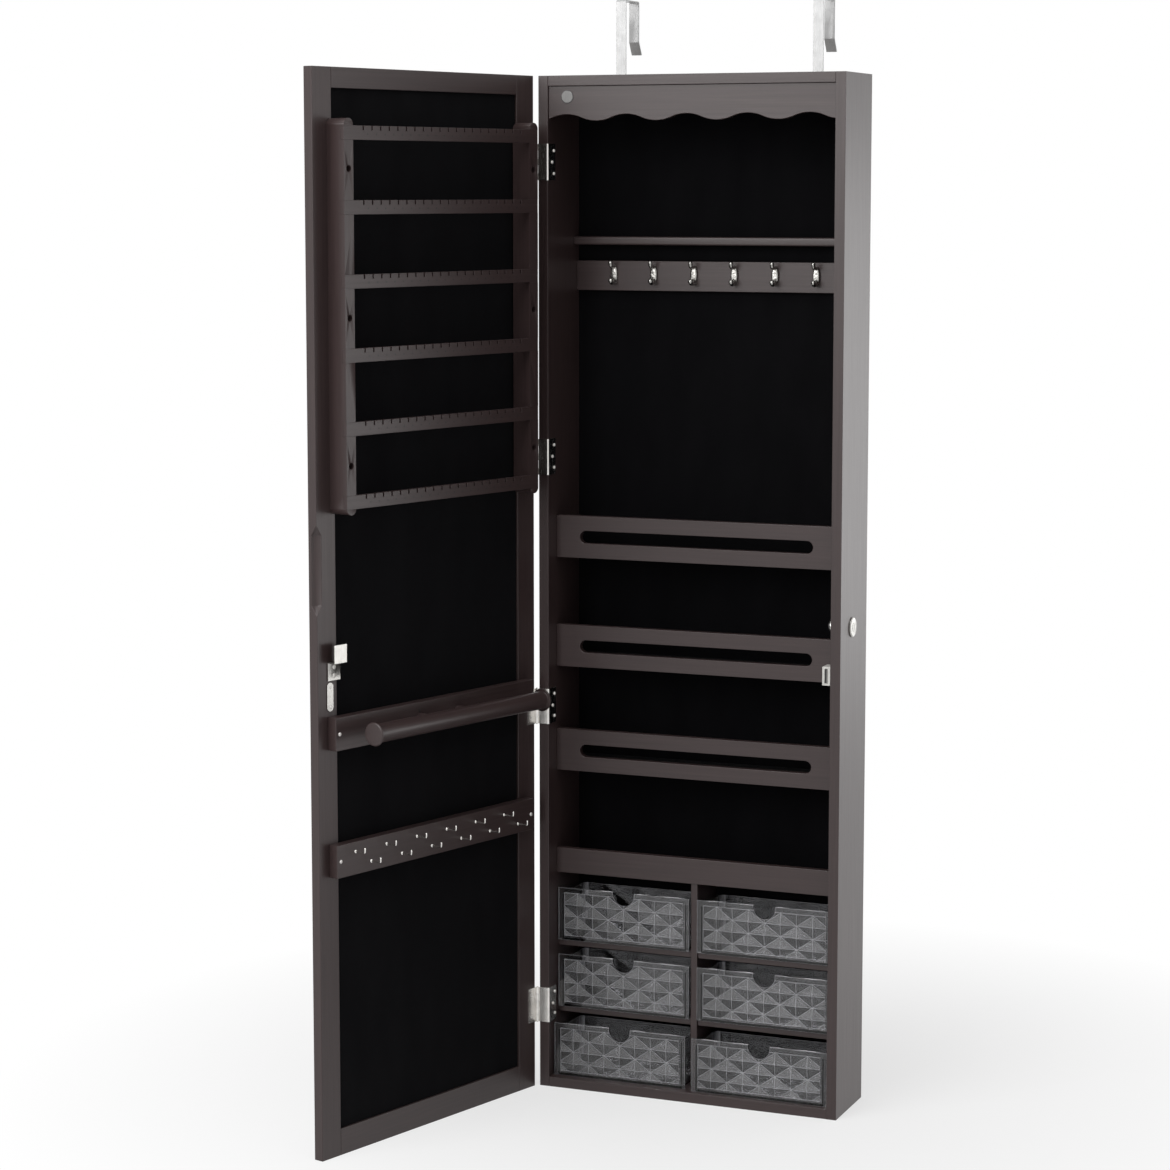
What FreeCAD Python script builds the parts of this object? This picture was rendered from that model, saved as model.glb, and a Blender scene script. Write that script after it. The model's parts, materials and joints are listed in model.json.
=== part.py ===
import FreeCAD, Part
import math
import os
import re
import Sketcher

# Wall-hung jewelry cabinet: a shallow box behind a mirrored door that swings on four hinges.
#
# Frame: the origin is the centre of the cabinet's back face, x runs to the right, y to the
# wall behind it and z up, so the cabinet's inside lies at negative y. Heights in the sizes
# below are measured from the cabinet's underside or down from its top, and everything on the
# door has three coordinates of its own: u from the door's hinge edge, s out of the door's
# inner face, and z. The door stands open, and the bottom drawers are a little way out.

Vector = FreeCAD.Vector

# Every size, once, in millimetres (angles in degrees).
SIZES = {
    # the box and its boards
    "cabinet_width": 372,
    "cabinet_depth": 99,
    "cabinet_height": 1200,
    "board": 12,
    "back_thickness": 3,
    "rebate_width": 6,
    "lining_thickness": 1,
    # the scalloped valance under the top board
    "valance_setback": 2.5,
    "valance_thickness": 9,
    "valance_drop": 36.25,
    "wave_period": 73.6,
    "wave_rise": 3.75,
    "wave_shift": -4.5,
    "disc_radius": 7.5,
    "disc_thickness": 1.2,
    "disc_inset": 23.5,
    "disc_drop": 12.4,
    # the ledge and the board of coat hooks
    "ledge_drop": 185.7,
    "ledge_thickness": 9.8,
    "ledge_depth": 16,
    "coat_board_drop": 214.4,
    "coat_board_tall": 35,
    "coat_board_thickness": 7,
    "coat_hook_count": 6,
    "coat_hook_spacing": 50.2,
    "coat_hook_drop": 6,
    "coat_plate_tall": 21,
    "coat_plate_width": 5.6,
    "coat_plate_thickness": 1.8,
    "coat_upper_reach": 15.5,
    "coat_upper_rise": 25.2,
    "coat_lower_reach": 14,
    "coat_lower_rise": 4.2,
    "coat_arm_radius": 1.1,
    "coat_knob_radius": 1.9,
    # the shelves and their rails
    "rail_setback": 24.5,
    "rail_thickness": 9,
    "rail_tall": 50,
    "upper_rail_rise": 130.2,
    "middle_rail_rise": 125.3,
    "lower_rail_rise": 124.5,
    "slot_length": 288,
    "slot_tall": 14.7,
    "shelf_thickness": 9,
    "plain_rail_tall": 30,
    # the drawer bay
    "divider_thickness": 8.1,
    "divider_setback": 28,
    "drawer_headroom": 9.7,
    "top_drawer_headroom": 18.7,
    "drawer_shelf_thickness": 8,
    "drawer_shelf_setback": 31,
    "drawer_setback": 24,
    "drawer_wall_gap": 2.2,
    "drawer_divider_gap": 0.95,
    "drawer_floor_gap": 0.3,
    "drawer_back_gap": 1,
    "drawer_tall": 63.5,
    "drawer_front_thickness": 3.4,
    "tray_inset": 4,
    "tray_tall": 56,
    "tray_wall": 2.2,
    "tray_floor": 2.5,
    "tray_corner": 8,
    "notch_radius": 13.5,
    "notch_depth": 16,
    "facet_half_width": 19.8,
    "facet_half_tall": 14.1,
    "facet_relief": 1.6,
    "facet_first_row": 14.8,
    "front_border": 8,
    "front_lip": 5.5,
    "left_pull_out": 12.5,
    "right_pull_out": 16.5,
    # the door: frame, mirror, backing and lining
    "door_clearance": 0.6,
    "door_gap": 2,
    "door_thickness": 12,
    "stile_width": 30,
    "top_rail_tall": 22.5,
    "bottom_rail_tall": 30.5,
    "door_rebate": 8,
    "mirror_thickness": 3,
    "mirror_recess": 0.5,
    "backing_thickness": 5,
    "opening_angle": 106.2,
    "pull_radius": 7.6,
    "pull_rise": 38.3,
    "pull_length": 100,
    "pull_point": 11.5,
    # the four hinges
    "axis_outset": 2.7,
    "hinge_tall": 42,
    "barrel_radius": 2.5,
    "hinge_pin_radius": 1,
    "pin_proud": 0.8,
    "leaf_thickness": 0.9,
    "frame_leaf_reach": 20,
    "door_leaf_width": 13,
    "knuckle_gap": 0.3,
    "top_hinge_drop": 99,
    "upper_hinge_drop": 442,
    "lower_hinge_height": 462,
    "bottom_hinge_height": 100,
    # the earring rack on the door
    "rack_drop": 54.7,
    "rack_inset": 22.4,
    "upright_width": 14.7,
    "upright_depth": 25,
    "upright_tall": 426.3,
    "bar_count": 6,
    "bar_first": 6.1,
    "bar_last": 7.9,
    "bar_tall": 15.2,
    "bar_thickness": 5,
    "earring_notch_count": 20,
    "earring_notch_spacing": 13.9,
    "earring_notch_width": 2,
    "earring_notch_depth": 4.9,
    "counterbore_first": 53.4,
    "counterbore_spacing": 159.6,
    "counterbore_radius": 3.75,
    "counterbore_depth": 8,
    # the rod, its board and the board of small hooks
    "door_board_inset": 15.4,
    "door_board_tall": 37,
    "door_board_thickness": 12,
    "rod_board_drop": 5.8,
    "hook_board_drop": 26.8,
    "rod_radius": 10.5,
    "rod_cap_radius": 13.3,
    "rod_cap_length": 3.2,
    "rod_cap_bevel": 1,
    "rod_inset": 39.4,
    "rod_standoff": 45,
    "rod_rise": 1,
    "post_radius": 5,
    "post_spread": 64,
    "small_hook_count": 12,
    "small_hook_spacing": 25.5,
    "small_hook_stagger": 15,
    "small_hook_reach": 15,
    "small_hook_upturn": 6,
    "small_hook_radius": 1,
    "small_hook_bend": 2,
    "small_collar_radius": 2.1,
    "small_collar_length": 1,
    # the lock, its keeper, and the magnetic catch
    "lock_rise": 13.4,
    "lock_setback": 42.4,
    "flange_radius": 11.5,
    "flange_thickness": 2.4,
    "barrel_length": 24,
    "lock_barrel_radius": 8,
    "plug_radius": 5,
    "plug_proud": 0.4,
    "nut_thickness": 4,
    "nut_radius": 12,
    "cam_thickness": 1.6,
    "cam_hub_radius": 7,
    "cam_strap": 4.6,
    "cam_hook": 6,
    "cam_clearance": 0.5,
    "cam_hook_gap": 1,
    "cam_screw_radius": 3.5,
    "cam_screw_thickness": 1.8,
    "keyhole_width": 1.8,
    "keyhole_tall": 7.6,
    "keyhole_depth": 6,
    "keeper_inset": 14.8,
    "keeper_width": 19.8,
    "keeper_drop": 33.9,
    "keeper_base_tall": 21.2,
    "keeper_standoff": 10,
    "keeper_sheet": 1.5,
    "keeper_lip_tall": 19,
    "strike_inset": 13.6,
    "strike_width": 9.9,
    "strike_tall": 32.2,
    "strike_thickness": 1.2,
    "strike_drop": 1.8,
    "catch_tall": 21.5,
    "catch_width": 9.5,
    "catch_depth": 19,
    "catch_proud": 0.4,
    "catch_slot_width": 3.6,
    "catch_slot_depth": 3,
    # the hangers that go over the top of a door
    "hanger_spread": 243,
    "hanger_width": 12.5,
    "hanger_sheet": 1.5,
    "hanger_rise": 90.6,
    "hanger_overlap": 50,
    "hanger_gap": 40,
    "hanger_leg": 47.6,
    "hanger_foot_out": 9,
    "hanger_foot_down": 15,
    "hanger_bend": 2.5,
    # running clearance between a shaft or plug and its bore
    "fit": 0.05,
}

doc = FreeCAD.newDocument("jewelry_cabinet")
sheet = doc.addObject("Spreadsheet::Sheet", "Sizes")
for row, (size_name, size) in enumerate(SIZES.items(), start=1):
    sheet.set(f"A{row}", size_name)
    sheet.set(f"B{row}", str(size))
    sheet.setAlias(f"B{row}", size_name)
doc.recompute()

pieces = []

# ---------------------------------------------------------------- formulas shared by pieces
INSIDE = "(cabinet_width / 2 - board)"
INSIDE_BACK = "(back_thickness + lining_thickness)"
INSIDE_TOP = "(cabinet_height - board)"
PANEL_HALF = "(cabinet_width / 2 - board + rebate_width)"
RAIL_FRONT = "(cabinet_depth - rail_setback)"
RAIL_BACK = "(cabinet_depth - rail_setback - rail_thickness)"
DRAWER_FRONT = "(cabinet_depth - drawer_setback)"
DRAWER_STEP = "(drawer_floor_gap + drawer_tall + drawer_headroom + drawer_shelf_thickness)"
DRAWER_WIDTH = f"({INSIDE} - divider_thickness / 2 - drawer_wall_gap - drawer_divider_gap)"
DOOR_WIDTH = "(cabinet_width - 2 * door_clearance)"
DOOR_EDGE = "(axis_outset + door_clearance)"
LIP = "(door_thickness - mirror_recess - mirror_thickness - backing_thickness)"
RACK_BOTTOM = "(cabinet_height - rack_drop - upright_tall)"
BAR_SPACING = "((upright_tall - bar_first - bar_last - bar_tall) / (bar_count - 1))"
HINGE_HEIGHTS = (
    "(cabinet_height - top_hinge_drop)",
    "(cabinet_height - upper_hinge_drop)",
    "lower_hinge_height",
    "bottom_hinge_height",
)
PLAIN_RAIL = f"(board + 2 * {DRAWER_STEP} + drawer_floor_gap + drawer_tall + top_drawer_headroom)"
LOWER_RAIL = f"({PLAIN_RAIL} + lower_rail_rise)"
MIDDLE_RAIL = f"({LOWER_RAIL} + middle_rail_rise)"
UPPER_RAIL = f"({MIDDLE_RAIL} + upper_rail_rise)"
LOCK_HEIGHT = f"({MIDDLE_RAIL} + rail_tall + lock_rise)"
KEEPER_HEIGHT = f"({LOCK_HEIGHT} - keeper_drop)"
STRIKE_HEIGHT = f"({KEEPER_HEIGHT} - strike_drop - strike_tall)"
CATCH_HEIGHT = f"({STRIKE_HEIGHT} + (strike_tall - catch_tall) / 2)"
ROD_BOARD = f"({STRIKE_HEIGHT} - rod_board_drop - door_board_tall)"
HOOK_BOARD = f"({LOWER_RAIL} - hook_board_drop - door_board_tall)"
AXIS_X = "(-cabinet_width / 2 - axis_outset)"
AXIS_Y = "(-cabinet_depth - door_gap / 2)"
KNUCKLE_PITCH = "(hinge_tall / 5)"
CLEAR_OF_BARREL = "(barrel_radius + knuckle_gap)"
LOCK_Y = "(lock_setback - cabinet_depth)"


def formula(text):
    """The text with every size name turned into the name of its cell."""
    def cell(word):
        return "Sizes." + word.group() if word.group() in SIZES else word.group()
    return re.sub(r"[a-z_]+", cell, text)


def number(text):
    return float(sheet.evalExpression(text))


def bind(item, field, text):
    item.setExpression(field, formula(text))


# ---------------------------------------------------------------- sketches and features
def new_body(name):
    body = doc.addObject("PartDesign::Body", name)
    body.Label = name
    return body


def new_sketch(body, role, lift="0"):
    """A sketch on one of the body's own origin planes, or lifted off it along its normal."""
    plane = next(item for item in body.Origin.OriginFeatures if item.Role == role)
    sketch = body.newObject("Sketcher::SketchObject", body.Name + "_sketch")
    sketch.AttachmentSupport = [(plane, "")]
    sketch.MapMode = "FlatFace"
    bind(sketch, "AttachmentOffset.Base.z", lift)
    return sketch


def hold(sketch, kind, where, text):
    """Add one dimension whose value follows a formula; where says what it measures."""
    index = sketch.addConstraint(Sketcher.Constraint(kind, *where, number(text)))
    sketch.renameConstraint(index, f"size_{index}")
    bind(sketch, f"Constraints.size_{index}", text)


def hold_point(sketch, line, end, x, y):
    hold(sketch, "DistanceX", (-1, 1, line, end), x)
    hold(sketch, "DistanceY", (-1, 1, line, end), y)


def draw_polygon(sketch, corners):
    first = sketch.GeometryCount
    points = [Vector(number(x), number(y), 0) for x, y in corners]
    for start, end in zip(points, points[1:] + points[:1]):
        sketch.addGeometry(Part.LineSegment(start, end))
    for step, (x, y) in enumerate(corners):
        line_before = first + (step - 1) % len(corners)
        sketch.addConstraint(Sketcher.Constraint("Coincident", line_before, 2, first + step, 1))
        hold_point(sketch, first + step, 1, x, y)


def draw_rectangle(sketch, x, y, width, height):
    right = f"({x}) + ({width})"
    top = f"({y}) + ({height})"
    draw_polygon(sketch, [(x, y), (right, y), (right, top), (x, top)])


def draw_circle(sketch, x, y, radius):
    centre = Vector(number(x), number(y), 0)
    circle = sketch.addGeometry(Part.Circle(centre, Vector(0, 0, 1), number(radius)))
    hold_point(sketch, circle, 3, x, y)
    hold(sketch, "Radius", (circle,), radius)


def draw_slot(sketch, x, y, length, width, upright=False):
    """A slot or strip with half-round ends, centred on (x, y)."""
    turn = math.pi / 2 if upright else 0
    kind = "DistanceY" if upright else "DistanceX"
    half = number(f"(({length}) - ({width})) / 2")
    radius = number(f"({width}) / 2")
    middle = Vector(number(x), number(y), 0)
    along = Vector(math.cos(turn), math.sin(turn), 0)
    across = Vector(-math.sin(turn), math.cos(turn), 0)
    first = sketch.GeometryCount
    for way in (1, -1):
        end = middle + along * half * way
        sketch.addGeometry(Part.LineSegment(
            middle - along * half * way - across * radius * way, end - across * radius * way))
        circle = Part.Circle(end, Vector(0, 0, 1), radius)
        start_angle = turn - math.pi / 2 * way
        sketch.addGeometry(Part.ArcOfCircle(circle, start_angle, start_angle + math.pi))
    for step in range(4):
        following = first + (step + 1) % 4
        sketch.addConstraint(Sketcher.Constraint("Coincident", first + step, 2, following, 1))
    for line, sign in ((first, "+"), (first + 2, "-")):
        centre = y if upright else x
        far_end = f"({centre}) {sign} (({length}) - ({width})) / 2"
        near_end = far_end.replace(f" {sign} ", " - " if sign == "+" else " + ", 1)
        hold(sketch, kind, (-1, 1, line, 2), far_end)
        hold(sketch, kind, (-1, 1, line, 1), near_end)
        arc_x = x if upright else far_end
        arc_y = far_end if upright else y
        hold_point(sketch, line + 1, 3, arc_x, arc_y)
        hold(sketch, "Radius", (line + 1,), f"({width}) / 2")


def add_feature(body, kind, sketch):
    feature = body.newObject("PartDesign::" + kind, f"{body.Name}_{kind.lower()}")
    feature.Profile = sketch
    return feature


def pad(body, sketch, length, backwards=False):
    feature = add_feature(body, "Pad", sketch)
    bind(feature, "Length", length)
    feature.Reversed = backwards
    doc.recompute()
    return feature


def pocket(body, sketch, depth, backwards=False):
    """Cut a sketch into the body, and make sure that it met the body."""
    volume = body.Shape.Volume
    feature = add_feature(body, "Pocket", sketch)
    bind(feature, "Length", depth)
    feature.Reversed = backwards
    doc.recompute()
    if body.Shape.Volume >= volume:
        raise ValueError(f"a pocket of {body.Label} cuts nothing")
    return feature


def revolve(body, sketch, axis, kind="Revolution"):
    feature = add_feature(body, kind, sketch)
    feature.ReferenceAxis = (sketch, [axis])
    feature.Angle = 360
    doc.recompute()
    return feature


def repeat(body, feature, sketch, axis, pitch, count):
    """Repeat one feature in a row along an axis of its sketch."""
    pattern = body.newObject("PartDesign::LinearPattern", body.Name + "_pattern")
    pattern.Originals = [feature]
    pattern.Direction = (sketch, [axis])
    bind(pattern, "Length", f"({pitch}) * ({count} - 1)")
    bind(pattern, "Occurrences", count)
    body.Tip = pattern
    doc.recompute()


def soften(body, radius, is_chosen):
    """Round the edges that the test picks."""
    base = body.Tip
    names = [f"Edge{i}" for i, edge in enumerate(base.Shape.Edges, start=1) if is_chosen(edge)]
    fillet = body.newObject("PartDesign::Fillet", body.Name + "_fillet")
    fillet.Base = (base, names)
    bind(fillet, "Radius", radius)
    doc.recompute()


def runs_along(edge, direction):
    ends = [vertex.Point for vertex in edge.Vertexes]
    if len(ends) < 2:
        return False
    line = ends[1] - ends[0]
    return line.Length > 0 and abs(line.normalize().dot(direction)) > 0.999


# ---------------------------------------------------------------- placing the pieces
def place(piece, x="0", y="0", z="0"):
    """Put a piece's own origin at x, y and a height above the cabinet's underside."""
    bind(piece, "Placement.Base.x", x)
    bind(piece, "Placement.Base.y", y)
    bind(piece, "Placement.Base.z", f"{z} - cabinet_height / 2")
    pieces.append(piece)


def place_on_door(piece, u="0", s="0", z="0"):
    """Put a piece at u, s, z of the door, turned open about the hinge axis."""
    along = f"({u} + {DOOR_EDGE})"
    out = f"({s} - door_gap / 2)"
    cosine = "cos(opening_angle)"
    sine = "sin(opening_angle)"
    piece.Placement.Rotation = FreeCAD.Rotation(Vector(0, 0, -1), SIZES["opening_angle"])
    bind(piece, "Placement.Rotation.Angle", "opening_angle")
    bind(piece, "Placement.Base.x", f"{AXIS_X} + {along} * {cosine} + {out} * {sine}")
    bind(piece, "Placement.Base.y", f"{AXIS_Y} - {along} * {sine} + {out} * {cosine}")
    bind(piece, "Placement.Base.z", f"{z} - cabinet_height / 2")
    pieces.append(piece)


def block(name, length, width, height):
    box = doc.addObject("Part::Box", name)
    box.Label = name
    bind(box, "Length", length)
    bind(box, "Width", width)
    bind(box, "Height", height)
    return box


def group(name, solids):
    """One sub-part that is a set of alike, separate solids."""
    feature = doc.addObject("Part::Feature", name)
    feature.Label = name
    feature.Shape = Part.makeCompound(solids)
    return feature


def moved(shape, x, y, z):
    copy = shape.copy()
    copy.translate(Vector(x, y, z))
    return copy


# ---------------------------------------------------------------- the box
def make_side(name, inward):
    """A side board; inward is 1 on the left side and -1 on the right side."""
    body = new_body(name)
    outline = new_sketch(body, "XY_Plane")
    draw_polygon(outline, [
        ("0", "0"),
        (f"{inward} * (board - rebate_width)", "0"),
        (f"{inward} * (board - rebate_width)", "-back_thickness"),
        (f"{inward} * board", "-back_thickness"),
        (f"{inward} * board", "-cabinet_depth"),
        ("0", "-cabinet_depth"),
    ])
    pad(body, outline, "cabinet_height")
    return body


def make_side_left():
    place(make_side("side_left", 1), "-cabinet_width / 2")


def make_side_right():
    body = make_side("side_right", -1)
    bore = new_sketch(body, "YZ_Plane")
    draw_circle(bore, LOCK_Y, LOCK_HEIGHT, "lock_barrel_radius + fit")
    pocket(body, bore, "board")
    place(body, "cabinet_width / 2")


def make_end_board(name, up):
    """The top board, or with up = -1 the bottom board, between the sides."""
    body = new_body(name)
    outline = new_sketch(body, "YZ_Plane")
    draw_polygon(outline, [
        ("-cabinet_depth", "0"),
        ("-back_thickness", "0"),
        ("-back_thickness", f"{up} * rebate_width"),
        ("0", f"{up} * rebate_width"),
        ("0", f"{up} * board"),
        ("-cabinet_depth", f"{up} * board"),
    ])
    pad(body, outline, f"2 * {INSIDE}")
    return body


def let_in_hangers(body, x, foot, height):
    """Grooves for the two hangers in the back face of a piece, so that they lie flush in it."""
    groove = new_sketch(body, "XZ_Plane")
    for side in ("-", "+"):
        draw_rectangle(groove, f"{x} {side} hanger_spread / 2 - hanger_width / 2 - fit", foot,
                       "hanger_width + 2 * fit", height)
    pocket(body, groove, "hanger_sheet", backwards=True)


def make_ends():
    top = make_end_board("top_board", 1)
    let_in_hangers(top, INSIDE, "0", "board")
    place(top, f"-{INSIDE}", "0", INSIDE_TOP)
    place(make_end_board("bottom_board", -1), f"-{INSIDE}", "0", "board")


def make_back():
    panel = new_body("back_panel")
    outline = new_sketch(panel, "XZ_Plane")
    foot = "board - rebate_width"
    tall = f"cabinet_height - 2 * ({foot})"
    draw_rectangle(outline, f"-{PANEL_HALF}", foot, f"2 * {PANEL_HALF}", tall)
    pad(panel, outline, "back_thickness")
    let_in_hangers(panel, "0", "cabinet_height - hanger_overlap", "hanger_overlap")
    place(panel)
    lining = block("back_lining", f"2 * {INSIDE}", "lining_thickness", "cabinet_height - 2 * board")
    place(lining, f"-{INSIDE}", f"-{INSIDE_BACK}", "board")


# ---------------------------------------------------------------- valance, ledge, coat hooks
def make_valance():
    """A board whose lower edge is a wave of arcs, each half a period long and curved in turn."""
    half = number(INSIDE)
    shift = number("wave_shift")
    span = number("wave_period / 2")
    rise = number("wave_rise")
    radius = (rise ** 2 + (span / 2) ** 2) / (2 * rise)
    edges = []
    for step in range(round((-half - shift) / span), round((half - shift) / span) + 1):
        crest = shift + step * span
        start = max(-half, crest - span / 2)
        end = min(half, crest + span / 2)
        points = []
        for x in (start, (start + end) / 2, end):
            height = math.sqrt(radius ** 2 - (x - crest) ** 2) - radius + rise
            points.append(Vector(x, 0, height if step % 2 == 0 else -height))
        edges.append(Part.Arc(*points).toShape())
    top = number("valance_drop")
    left, right = edges[0].Vertexes[0].Point, edges[-1].Vertexes[-1].Point
    corners = [right, Vector(half, 0, top), Vector(-half, 0, top), left]
    for start, end in zip(corners, corners[1:]):
        edges.append(Part.LineSegment(start, end).toShape())
    valance = doc.addObject("Part::Feature", "valance")
    valance.Label = "valance"
    outline = Part.Face(Part.Wire(edges))
    valance.Shape = outline.extrude(Vector(0, -number("valance_thickness"), 0))
    place(valance, "0", "-(cabinet_depth - valance_setback - valance_thickness)",
          f"{INSIDE_TOP} - valance_drop")


def make_valance_disc():
    body = new_body("valance_disc")
    outline = new_sketch(body, "XY_Plane")
    draw_polygon(outline, [
        ("0", "0"),
        ("disc_radius", "0"),
        ("disc_radius", "-disc_thickness / 2"),
        ("disc_radius - disc_thickness / 2", "-disc_thickness"),
        ("0", "-disc_thickness"),
    ])
    revolve(body, outline, "V_Axis")
    place(body, f"-{INSIDE} + disc_inset", "-(cabinet_depth - valance_setback)",
          f"{INSIDE_TOP} - disc_drop")


def make_ledge():
    body = new_body("ledge")
    outline = new_sketch(body, "YZ_Plane")
    draw_rectangle(outline, "-ledge_depth", "0", "ledge_depth", "ledge_thickness")
    pad(body, outline, f"2 * {INSIDE}")
    across = Vector(1, 0, 0)
    front = -number("ledge_depth")
    soften(body, "ledge_thickness / 5",
           lambda edge: runs_along(edge, across) and edge.BoundBox.YMax < front + 0.1)
    place(body, f"-{INSIDE}", f"-{INSIDE_BACK}",
          "cabinet_height - ledge_drop - ledge_thickness")


def make_coat_board():
    board = block("coat_hook_board", f"2 * {INSIDE}", "coat_board_thickness", "coat_board_tall")
    place(board, f"-{INSIDE}", f"-{INSIDE_BACK} - coat_board_thickness",
          "cabinet_height - coat_board_drop - coat_board_tall")


def bent_bar(points, radii, sides=8):
    """A bar through the points in one upright plane, eight-sided, with a radius at each point."""
    rings = []
    for step, point in enumerate(points):
        before, after = points[max(step - 1, 0)], points[min(step + 1, len(points) - 1)]
        across = (after - before).normalize().cross(Vector(1, 0, 0))
        ring = []
        for corner in range(sides + 1):
            turn = 2 * math.pi * (corner + 0.5) / sides
            reach = Vector(math.cos(turn), 0, 0) + across * math.sin(turn)
            ring.append(point + reach * radii[step])
        rings.append(Part.makePolygon(ring))
    return Part.makeLoft(rings, True, True)


def coat_hook():
    """A double hook: an oval plate, a long upper arm and a short lower one, each with a knob.

    The arms are cast in eight flats and swell and taper along their length."""
    tall, width = number("coat_plate_tall"), number("coat_plate_width")
    thickness, arm = number("coat_plate_thickness"), number("coat_arm_radius")
    knob = number("coat_knob_radius")
    reach, rise = number("coat_upper_reach"), number("coat_upper_rise")
    low_reach, low_rise = number("coat_lower_reach"), number("coat_lower_rise")
    plate = Part.makeBox(width, thickness, tall - width, Vector(-width / 2, -thickness, width / 2))
    for z in (width / 2, tall - width / 2):
        plate = plate.fuse(Part.makeCylinder(width / 2, thickness, Vector(0, 0, z), Vector(0, -1, 0)))
    upper = bent_bar([Vector(0, -thickness / 2, tall * 0.6), Vector(0, -thickness - arm, tall * 0.66),
                      Vector(0, -reach * 0.5, rise - knob * 1.6), Vector(0, -reach, rise - knob / 2)],
                     [arm * 1.7, arm * 1.7, arm, arm * 0.9])
    lower = bent_bar([Vector(0, -thickness / 2, tall / 2), Vector(0, -low_reach * 0.35, knob),
                      Vector(0, -low_reach * 0.7, arm / 2), Vector(0, -low_reach, low_rise - knob / 2)],
                     [arm * 1.5, arm * 1.3, arm, arm * 0.9])
    parts = [upper, lower]
    for y, z in ((-reach, rise), (-low_reach, low_rise)):
        spindle = [(-2.6, 0.3), (-1, 0.8), (0, 1), (0.9, 0.7), (1.5, 0.2)]
        parts.append(bent_bar([Vector(0, y, z + knob * up) for up, _ in spindle],
                              [knob * wide for _, wide in spindle]))
    hook = plate.multiFuse(parts).removeSplitter()
    return hook.cut(Part.makeBox(width, knob, tall, Vector(-width / 2, 0, 0)))


def make_coat_hooks():
    hook = coat_hook()
    count = int(number("coat_hook_count"))
    pitch = number("coat_hook_spacing")
    hooks = [moved(hook, (step - (count - 1) / 2) * pitch, 0, 0) for step in range(count)]
    place(group("coat_hooks", hooks), "0", f"-{INSIDE_BACK} - coat_board_thickness",
          "cabinet_height - coat_board_drop - coat_hook_drop - coat_plate_tall")


# ---------------------------------------------------------------- shelves, rails and drawer bay
def make_shelf(name, height):
    shelf = block(name, f"2 * {INSIDE}", f"{RAIL_BACK} - {INSIDE_BACK}", "shelf_thickness")
    place(shelf, f"-{INSIDE}", f"-{RAIL_BACK}", height)


def make_slotted_rail(name, height):
    body = new_body(name)
    outline = new_sketch(body, "XZ_Plane")
    draw_rectangle(outline, f"-{INSIDE}", "0", f"2 * {INSIDE}", "rail_tall")
    draw_slot(outline, "0", "rail_tall / 2", "slot_length", "slot_tall")
    pad(body, outline, "rail_thickness")
    place(body, "0", f"-{RAIL_BACK}", height)


def make_compartments():
    for name, height in (("upper", UPPER_RAIL), ("middle", MIDDLE_RAIL), ("lower", LOWER_RAIL)):
        make_shelf(f"{name}_shelf", height)
        make_slotted_rail(f"{name}_rail", height)
    make_shelf("drawer_bay_top", PLAIN_RAIL)
    rail = block("plain_rail", f"2 * {INSIDE}", "rail_thickness", "plain_rail_tall")
    place(rail, f"-{INSIDE}", f"-{RAIL_FRONT}", PLAIN_RAIL)


def make_drawer_bay():
    front = "(cabinet_depth - divider_setback)"
    divider = block("drawer_divider", "divider_thickness", f"{front} - {INSIDE_BACK}",
                    f"{PLAIN_RAIL} - board")
    place(divider, "-divider_thickness / 2", f"-{front}", "board")
    depth = number(f"cabinet_depth - drawer_shelf_setback - {INSIDE_BACK}")
    width = number(f"{INSIDE} - divider_thickness / 2")
    thickness = number("drawer_shelf_thickness")
    shelf = Part.makeBox(width, depth, thickness)
    shelves = []
    for level in (1, 2):
        z = level * number(DRAWER_STEP) - thickness
        shelves.append(moved(shelf, -number(INSIDE), 0, z))
        shelves.append(moved(shelf, number("divider_thickness / 2"), 0, z))
    place(group("drawer_shelves", shelves), "0", "-(cabinet_depth - drawer_shelf_setback)", "board")


# ---------------------------------------------------------------- drawers
def pyramid(x, z):
    """One facet of the drawer front: a low pyramid on a diamond, its apex at y = 0."""
    half_width, half_tall = number("facet_half_width"), number("facet_half_tall")
    floor = number("facet_relief")
    rim = [Vector(x - half_width, floor, z), Vector(x, floor, z - half_tall),
           Vector(x + half_width, floor, z), Vector(x, floor, z + half_tall)]
    return Part.makeLoft([Part.makePolygon(rim + rim[:1]), Part.Vertex(x, 0, z)], True, True)


def drawer_front():
    """The front plate: a plain border round a field of pyramids, and a finger notch on top."""
    width, tall = number(DRAWER_WIDTH), number("drawer_tall")
    thickness, relief = number("drawer_front_thickness"), number("facet_relief")
    border, lip = number("front_border"), number("front_lip")
    half_width, half_tall = number("facet_half_width"), number("facet_half_tall")
    middle = width / 2
    plate = Part.makeBox(width, thickness, tall)
    field = Part.makeBox(width - 2 * border, relief, tall - 2 * lip, Vector(border, 0, lip))
    facets = []
    columns = int(middle / half_width) + 1
    rows = int(tall / half_tall) + 2
    for row in range(-1, rows):
        z = number("facet_first_row") + row * half_tall
        for column in range(-columns, columns + 1):
            if (row + column) % 2:
                facets.append(pyramid(middle + column * half_width, z))
    facets = [facet.common(field) for facet in facets]
    facets = [facet for facet in facets if facet.Volume > 1e-6]
    plate = plate.cut(field).multiFuse(facets)
    radius, depth = number("notch_radius"), number("notch_depth")
    centre = Vector(middle, 0, tall - depth + radius)
    notch = Part.makeCylinder(radius, thickness, centre, Vector(0, 1, 0))
    notch = notch.fuse(Part.makeBox(2 * radius, thickness, depth, centre - Vector(radius, 0, 0)))
    return plate.cut(notch).removeSplitter()


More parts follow.
